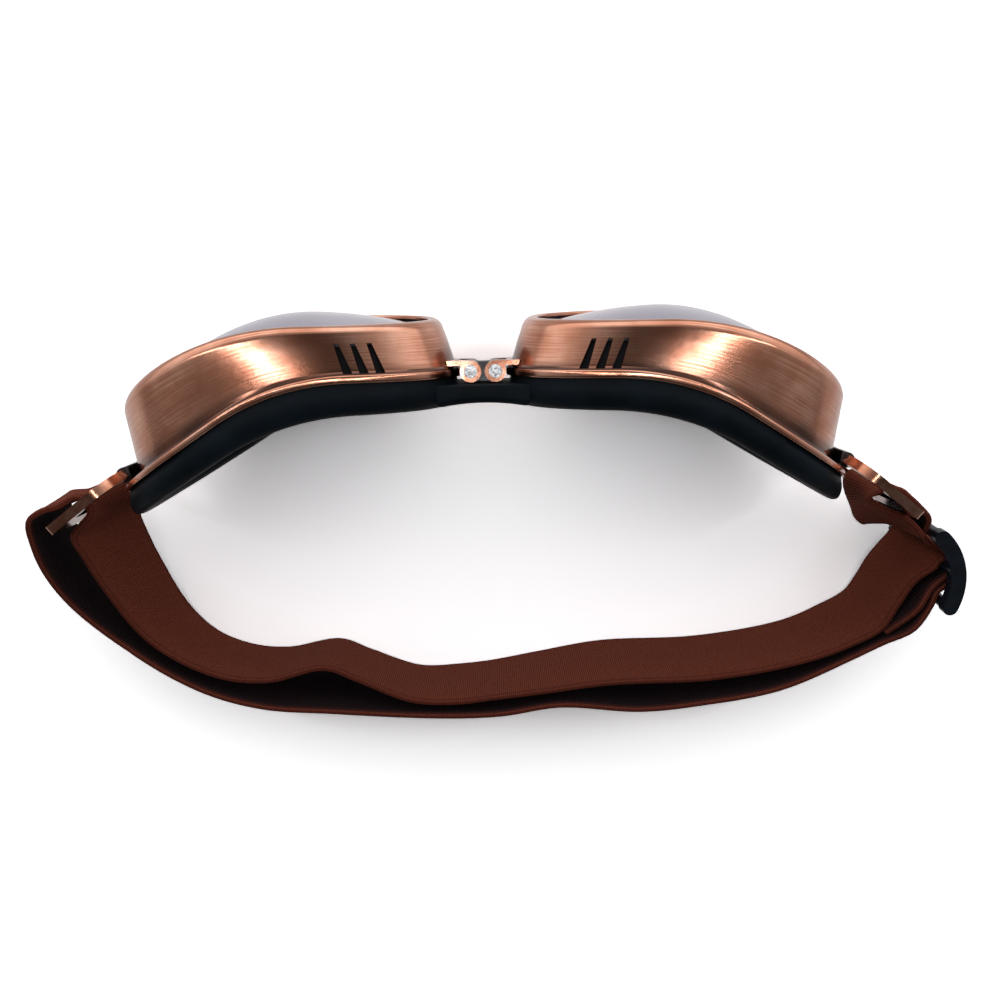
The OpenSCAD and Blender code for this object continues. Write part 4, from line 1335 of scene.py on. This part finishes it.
    def paint(self, piece: bpy.types.Object, face: bpy.types.Material,
              reverse: bpy.types.Material) -> None:
        """Gives the two sides of a stretch their materials: the later half of the section is
        the reverse.

        Args:
            piece: The stretch.
            face: The material of the face.
            reverse: The material of the reverse.
        """
        columns = len(self.section())
        index = np.zeros(len(piece.data.polygons), "i4")
        column = np.arange(len(index)) % columns
        index[:] = (column >= columns // 2 - 1) & (column <= columns - 4)
        index[-2:] = 0
        piece.data.materials.append(face)
        piece.data.materials.append(reverse)
        piece.data.polygons.foreach_set("material_index", index)

    def build(self, webbing: bpy.types.Material,
              reverse: bpy.types.Material) -> dict[str, bpy.types.Object]:
        """Builds all stretches, each on the bodies that it joins.

        Args:
            webbing: The material of the strap's face.
            reverse: The material of its reverse, darker than the face: partly its own colour, partly painted shade of
                the gap between the plies.

        Returns:
            The pieces by name.
        """
        line, at = self.route()
        run = lengths_along(line[:, :3])
        line = np.concatenate([2 * line[:1] - line[1:2], line, 2 * line[-1:] - line[-2:-1]])
        run = np.concatenate([run[:1], run, run[-1:]])
        counts = {stretch: len(knots) for stretch, knots in self.knots().items()}
        starts = dict(zip(Stretch, np.cumsum([0] + list(counts.values()))[:-1]))
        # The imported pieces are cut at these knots
        cuts = [0, counts[Stretch.TAIL] + 1, starts[Stretch.INNER_LEFT],
                starts[Stretch.LEFT_LOOP] + 1, starts[Stretch.OUTER_LEFT],
                starts[Stretch.OUTER_RIGHT], starts[Stretch.WEAVE], starts[Stretch.RIGHT_LOOP],
                starts[Stretch.RIGHT_LOOP] + counts[Stretch.RIGHT_LOOP] - 1]
        pieces: dict[str, bpy.types.Object] = {}
        for number, stretch in enumerate(Stretch):
            parts = [(stretch.value, cuts[number], cuts[number + 1])]
            if stretch is Stretch.WEAVE:
                turn = starts[Stretch.WEAVE] + 6
                parts = [("strap_weave_rear", cuts[number], turn),
                         ("strap_weave_front", turn, cuts[number + 1])]
            for name, first, last in parts:
                from_row = int(np.argmin(np.abs(at - first)))
                to_row = int(np.argmin(np.abs(at - last)))
                chosen = slice(from_row, to_row + 3)
                piece = self.ribbon(name + "_webbing", line[chosen], run[chosen])
                self.paint(piece, webbing, reverse)
                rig.replaces(piece, stretch.value)
                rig.slot(piece, "webbing")
                length = float(run[to_row + 1] - run[from_row + 1])
                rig.sheet(piece, flat=(self.layout.width * MM, length * MM), held="stretched",
                         rests_on=[])
                pieces[name] = piece
                LOG.info("built %s, %.0f mm long", piece.name, length)
        self.join(pieces)
        return pieces

    def join(self, pieces: dict[str, bpy.types.Object]) -> None:
        """Lets each stretch bend between the two bodies that it joins."""
        spot = self.place.spot
        s = self.layout
        near = s.on_slider(-18, -6)
        here = s.on_slider(-6, -2)
        ahead = s.on_slider(s.slider_pitch - 1, -4)
        middle = s.on_slider(1, 2)
        for name, side in (("strap_inner_left", -1), ("strap_outer_left", -1),
                           ("strap_inner_right", 1), ("strap_outer_right", 1)):
            cup = "left_cup" if side < 0 else "right_cup"
            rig.blend(pieces[name], "bridge", cup, start=spot(side * 4, -85, 14),
                     end=spot(side * 78, -85, 14))
        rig.blend(pieces["strap_left_loop"], "left_cup", "left_ring",
                 start=spot(-110, -49, 20), end=spot(-110, -40, 20))
        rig.blend(pieces["strap_right_loop"], "right_cup", "right_ring",
                 start=spot(116, -45, 20), end=spot(108, -38, 20))
        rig.blend(pieces["strap_inner_tail"], "right_cup", "slider",
                 start=spot(*near, 18), end=spot(*here, 18))
        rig.blend(pieces["strap_weave_rear"], "right_cup", "slider",
                 start=spot(*near, 18), end=spot(*here, 18))
        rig.blend(pieces["strap_weave_front"], "right_cup", "slider",
                 start=spot(*ahead, 18), end=spot(*middle, 18))


# ---- Studio ---------------------------------------------------------------------------------

@dataclass
class Studio:
    """A pale floor, two light strips beside the camera, soft light all round, and the camera."""

    place: Place
    camera_height: float = 260.0
    camera_x: float = 3.16
    camera_y: float = 12.54
    tilt: float = 11.608
    turn: float = 1.18
    aside: float = 0.32
    lens_mm: float = 31.896
    floor_gain: float = 2.3
    strip_at: tuple[float, float, float] = (120.0, 20.0, 238.0)
    strip_aim: tuple[float, float] = (60.0, 40.0)
    strip_size: tuple[float, float] = (7.0, 240.0)
    strip_watts: float = 0.1

    def build_floor(self) -> None:
        """Lays a pale floor that is white to the camera and keeps the object's shadow."""
        size = 3.0
        mesh = bpy.data.meshes.new("floor")
        mesh.from_pydata([(-size, -size, 0), (size, -size, 0), (size, size, 0), (-size, size, 0)],
                         [], [(0, 1, 2, 3)])
        floor = bpy.data.objects.new("floor", mesh)
        bpy.context.scene.collection.objects.link(floor)
        material, tree = new_material("White paper sweep")
        path = add_node(tree, "ShaderNodeLightPath")
        spot = add_node(tree, "ShaderNodeTexCoord").outputs["Object"]
        fibres = add_node(tree, "ShaderNodeTexNoise", inputs={
            "Vector": spot, "Scale": 1400.0, "Detail": 2.0})
        tone = add_node(tree, "ShaderNodeValToRGB", {"stops": [
            (0.3, linear("#f4f4f6")), (0.7, linear("#fbfbfc"))]}, {"Fac": fibres.outputs["Fac"]})
        gain = add_node(tree, "ShaderNodeMath", {"operation": "MULTIPLY_ADD"}, {
            0: path.outputs["Is Camera Ray"], 1: self.floor_gain - 0.95, 2: 0.95})
        shown = add_node(tree, "ShaderNodeVectorMath", {"operation": "SCALE"}, {
            0: tone.outputs["Color"], "Scale": gain.outputs[0]})
        paper = add_node(tree, "ShaderNodeBsdfDiffuse", inputs={"Color": shown.outputs[0]})
        seen = add_node(tree, "ShaderNodeMath", {"operation": "MULTIPLY_ADD"}, {
            0: path.outputs["Is Camera Ray"], 1: -0.15, 2: 0.15})
        glow = add_node(tree, "ShaderNodeEmission", inputs={
            "Color": grey(1.0), "Strength": seen.outputs[0]})
        both = add_node(tree, "ShaderNodeAddShader", inputs={
            0: paper.outputs[0], 1: glow.outputs[0]})
        finish_material(tree, both)
        mesh.materials.append(material)
        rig.stage(floor)

    def build_world(self) -> None:
        """Surrounds the object with soft light: darker straight above, paler to the sides.

        The strength is a ramp of the direction's height, so that the copper shows a dark
        ceiling between the two light strips, and more of it comes from the front than from
        behind. The camera sees plain white.
        """
        world = bpy.data.worlds.new("studio")
        bpy.context.scene.world = world
        world.use_nodes = True
        tree = world.node_tree
        tree.nodes.clear()
        way = add_node(tree, "ShaderNodeTexCoord").outputs["Generated"]
        parts = add_node(tree, "ShaderNodeSeparateXYZ", inputs={0: way})
        height = parts.outputs["Z"]
        room = add_node(tree, "ShaderNodeValToRGB", {"stops": [
            (0.0, grey(0.72)), (0.5, grey(0.7)), (0.72, grey(0.42)), (0.86, grey(0.26)),
            (0.93, grey(0.16)), (0.965, grey(0.06)), (1.0, grey(0.04))]}, {"Fac": height})
        front = add_node(tree, "ShaderNodeMapRange", {"interpolation_type": "SMOOTHSTEP"}, {
            "Value": parts.outputs["Y"], "From Min": -0.4, "From Max": 0.8,
            "To Min": 0.2, "To Max": 2.5})
        lit = add_node(tree, "ShaderNodeVectorMath", {"operation": "SCALE"}, {
            0: room.outputs["Color"], "Scale": front.outputs[0]})
        path = add_node(tree, "ShaderNodeLightPath")
        colour = add_node(tree, "ShaderNodeMix", {"data_type": "RGBA"}, {
            0: path.outputs["Is Camera Ray"], 6: lit.outputs[0], 7: grey(1.0)})
        glow = add_node(tree, "ShaderNodeBackground", inputs={"Color": colour.outputs[2],
                                                             "Strength": 1.0})
        add_node(tree, "ShaderNodeOutputWorld", inputs={"Surface": glow.outputs[0]})

    def add_strip(self, name: str, x: float, y: float, z: float, size: tuple[float, float],
                  power: float, aim: tuple[float, float, float]) -> None:
        """Hangs one rectangular light and points it at a place, all in millimetres.

        Args:
            name: The light's name.
            x: Place to the right of the hinge.
            y: Place in front of the hinge.
            z: Height.
            size: Width and length.
            power: Watts.
            aim: The place it points at.
        """
        light = bpy.data.lights.new(name, "AREA")
        light.shape, light.energy = "RECTANGLE", power
        light.size, light.size_y = size[0] * MM, size[1] * MM
        lamp = bpy.data.objects.new(name, light)
        here, there = Vector(self.place.spot(x, y, z)), Vector(self.place.spot(*aim))
        lamp.matrix_world = Matrix.Translation(here) @ (
            there - here).to_track_quat("-Z", "Y").to_matrix().to_4x4()
        lamp.visible_camera = False
        bpy.context.scene.collection.objects.link(lamp)

    def build_lights(self) -> None:
        """Two narrow strips beside the camera."""
        for side in Side:
            out, ahead, up = self.strip_at
            aim_out, aim_up = self.strip_aim
            self.add_strip(f"{side.word}_strip", side.value * out, ahead, up, self.strip_size,
                           self.strip_watts, (side.value * aim_out, 0, aim_up))

    def build_camera(self) -> None:
        """Stands the camera over the goggles at the photograph's angle.

        The view leans from straight down towards the strap by the tilt, a little to the side,
        and its upright is turned by a degree from the goggles' midline.
        """
        tilt, turn, aside = (math.radians(v) for v in (self.tilt, self.turn, self.aside))
        right = Vector((math.cos(turn), -math.sin(turn), 0))
        ahead = Vector((math.sin(turn), math.cos(turn), 0))
        view = (right * math.tan(aside) - ahead * math.tan(tilt) - Vector((0, 0, 1))).normalized()
        across = view.cross(ahead).normalized()
        above = across.cross(view)
        data = bpy.data.cameras.new("camera")
        data.lens, data.sensor_width, data.sensor_fit = self.lens_mm, 36.0, "HORIZONTAL"
        data.clip_start = 0.01
        camera = bpy.data.objects.new("camera", data)
        turned = Matrix((across, above, -view)).transposed().to_4x4()
        camera.matrix_world = Matrix.Translation(
            Vector(self.place.spot(self.camera_x, self.camera_y, self.camera_height))) @ turned
        bpy.context.scene.collection.objects.link(camera)
        bpy.context.scene.camera = camera

    def build(self) -> None:
        """Builds the studio and sets how the picture is shown."""
        self.build_floor()
        self.build_world()
        self.build_lights()
        self.build_camera()
        bpy.context.scene.view_settings.view_transform = "Standard"


def dress_node(name: str, material: bpy.types.Material) -> None:
    """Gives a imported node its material.

    Args:
        name: The node.
        material: What it is made of.
    """
    node = frame["nodes"][name]
    node.data.materials.clear()
    node.data.materials.append(material)
    LOG.info("dressed %s with %s", name, material.name)


def main() -> None:
    """Builds the studio, the cups, the hinge, the rings, the strap and the slider in order."""
    logging.basicConfig(level=logging.INFO, format="%(name)s: %(message)s")
    place = hinge_place()
    LOG.info("the hinge stands at %.3f, %.3f mm", place.x, place.y)
    Studio(place).build()
    copper = AntiquedCopper()
    pad = MouldedRubber().material("Moulded blue-black rubber")
    gasket = MouldedRubber(base="#0b0d10", bloom="#16181c").material("Gasket rubber")
    glass = LensGlass().material("Polished lens with a lilac film")
    for side in Side:
        EyeCup(side, place).build(copper, pad, glass, gasket)
        PadWeb(place).build(side, pad)
    small_copper = copper.material("Antiqued copper of the small parts")
    dark = WornSteel().material("Blackened steel")
    bright = WornSteel(base="#c9c9cb", mark="#77777a", rough=0.24).material("Nickel-plated steel")
    plastic = GlossPlastic().material("Glossy moulded acetal")
    for side in Side:
        dress_node(f"{side.word}_lens_gasket", gasket)
        dress_node(f"{side.word}_lens_retainer", dark)
        dress_node(f"{side.word}_hinge_leaf", small_copper)
        dress_node(f"{side.word}_hinge_screw", bright)
        dress_node(f"{side.word}_strap_clip", dark)
        dress_node(f"{side.word}_strap_ring", small_copper)
    dress_node("bridge_link", dark)
    dress_node("strap_slider", plastic)
    Strap(place).build(
        WovenElastic().material("Woven brown elastic"),
        # The reverse: partly its own darker colour, partly painted shade of the narrow gap between the plies
        WovenElastic(base="#201618", shade="#130d0f", lit="#2f2224", rib_mm=0.9,
                     yarn_mm=1.1).material("Reverse of the woven elastic"))
    boxes = {"cad": CAD_BOX, "visual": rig.bounds()}
    plain = {name: [[float(v) for v in corner] for corner in box] for name, box in boxes.items()}
    with open("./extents.json", "w", encoding="utf-8") as out:
        json.dump(plain, out, indent=1)


if __name__ == "__main__":
    main()
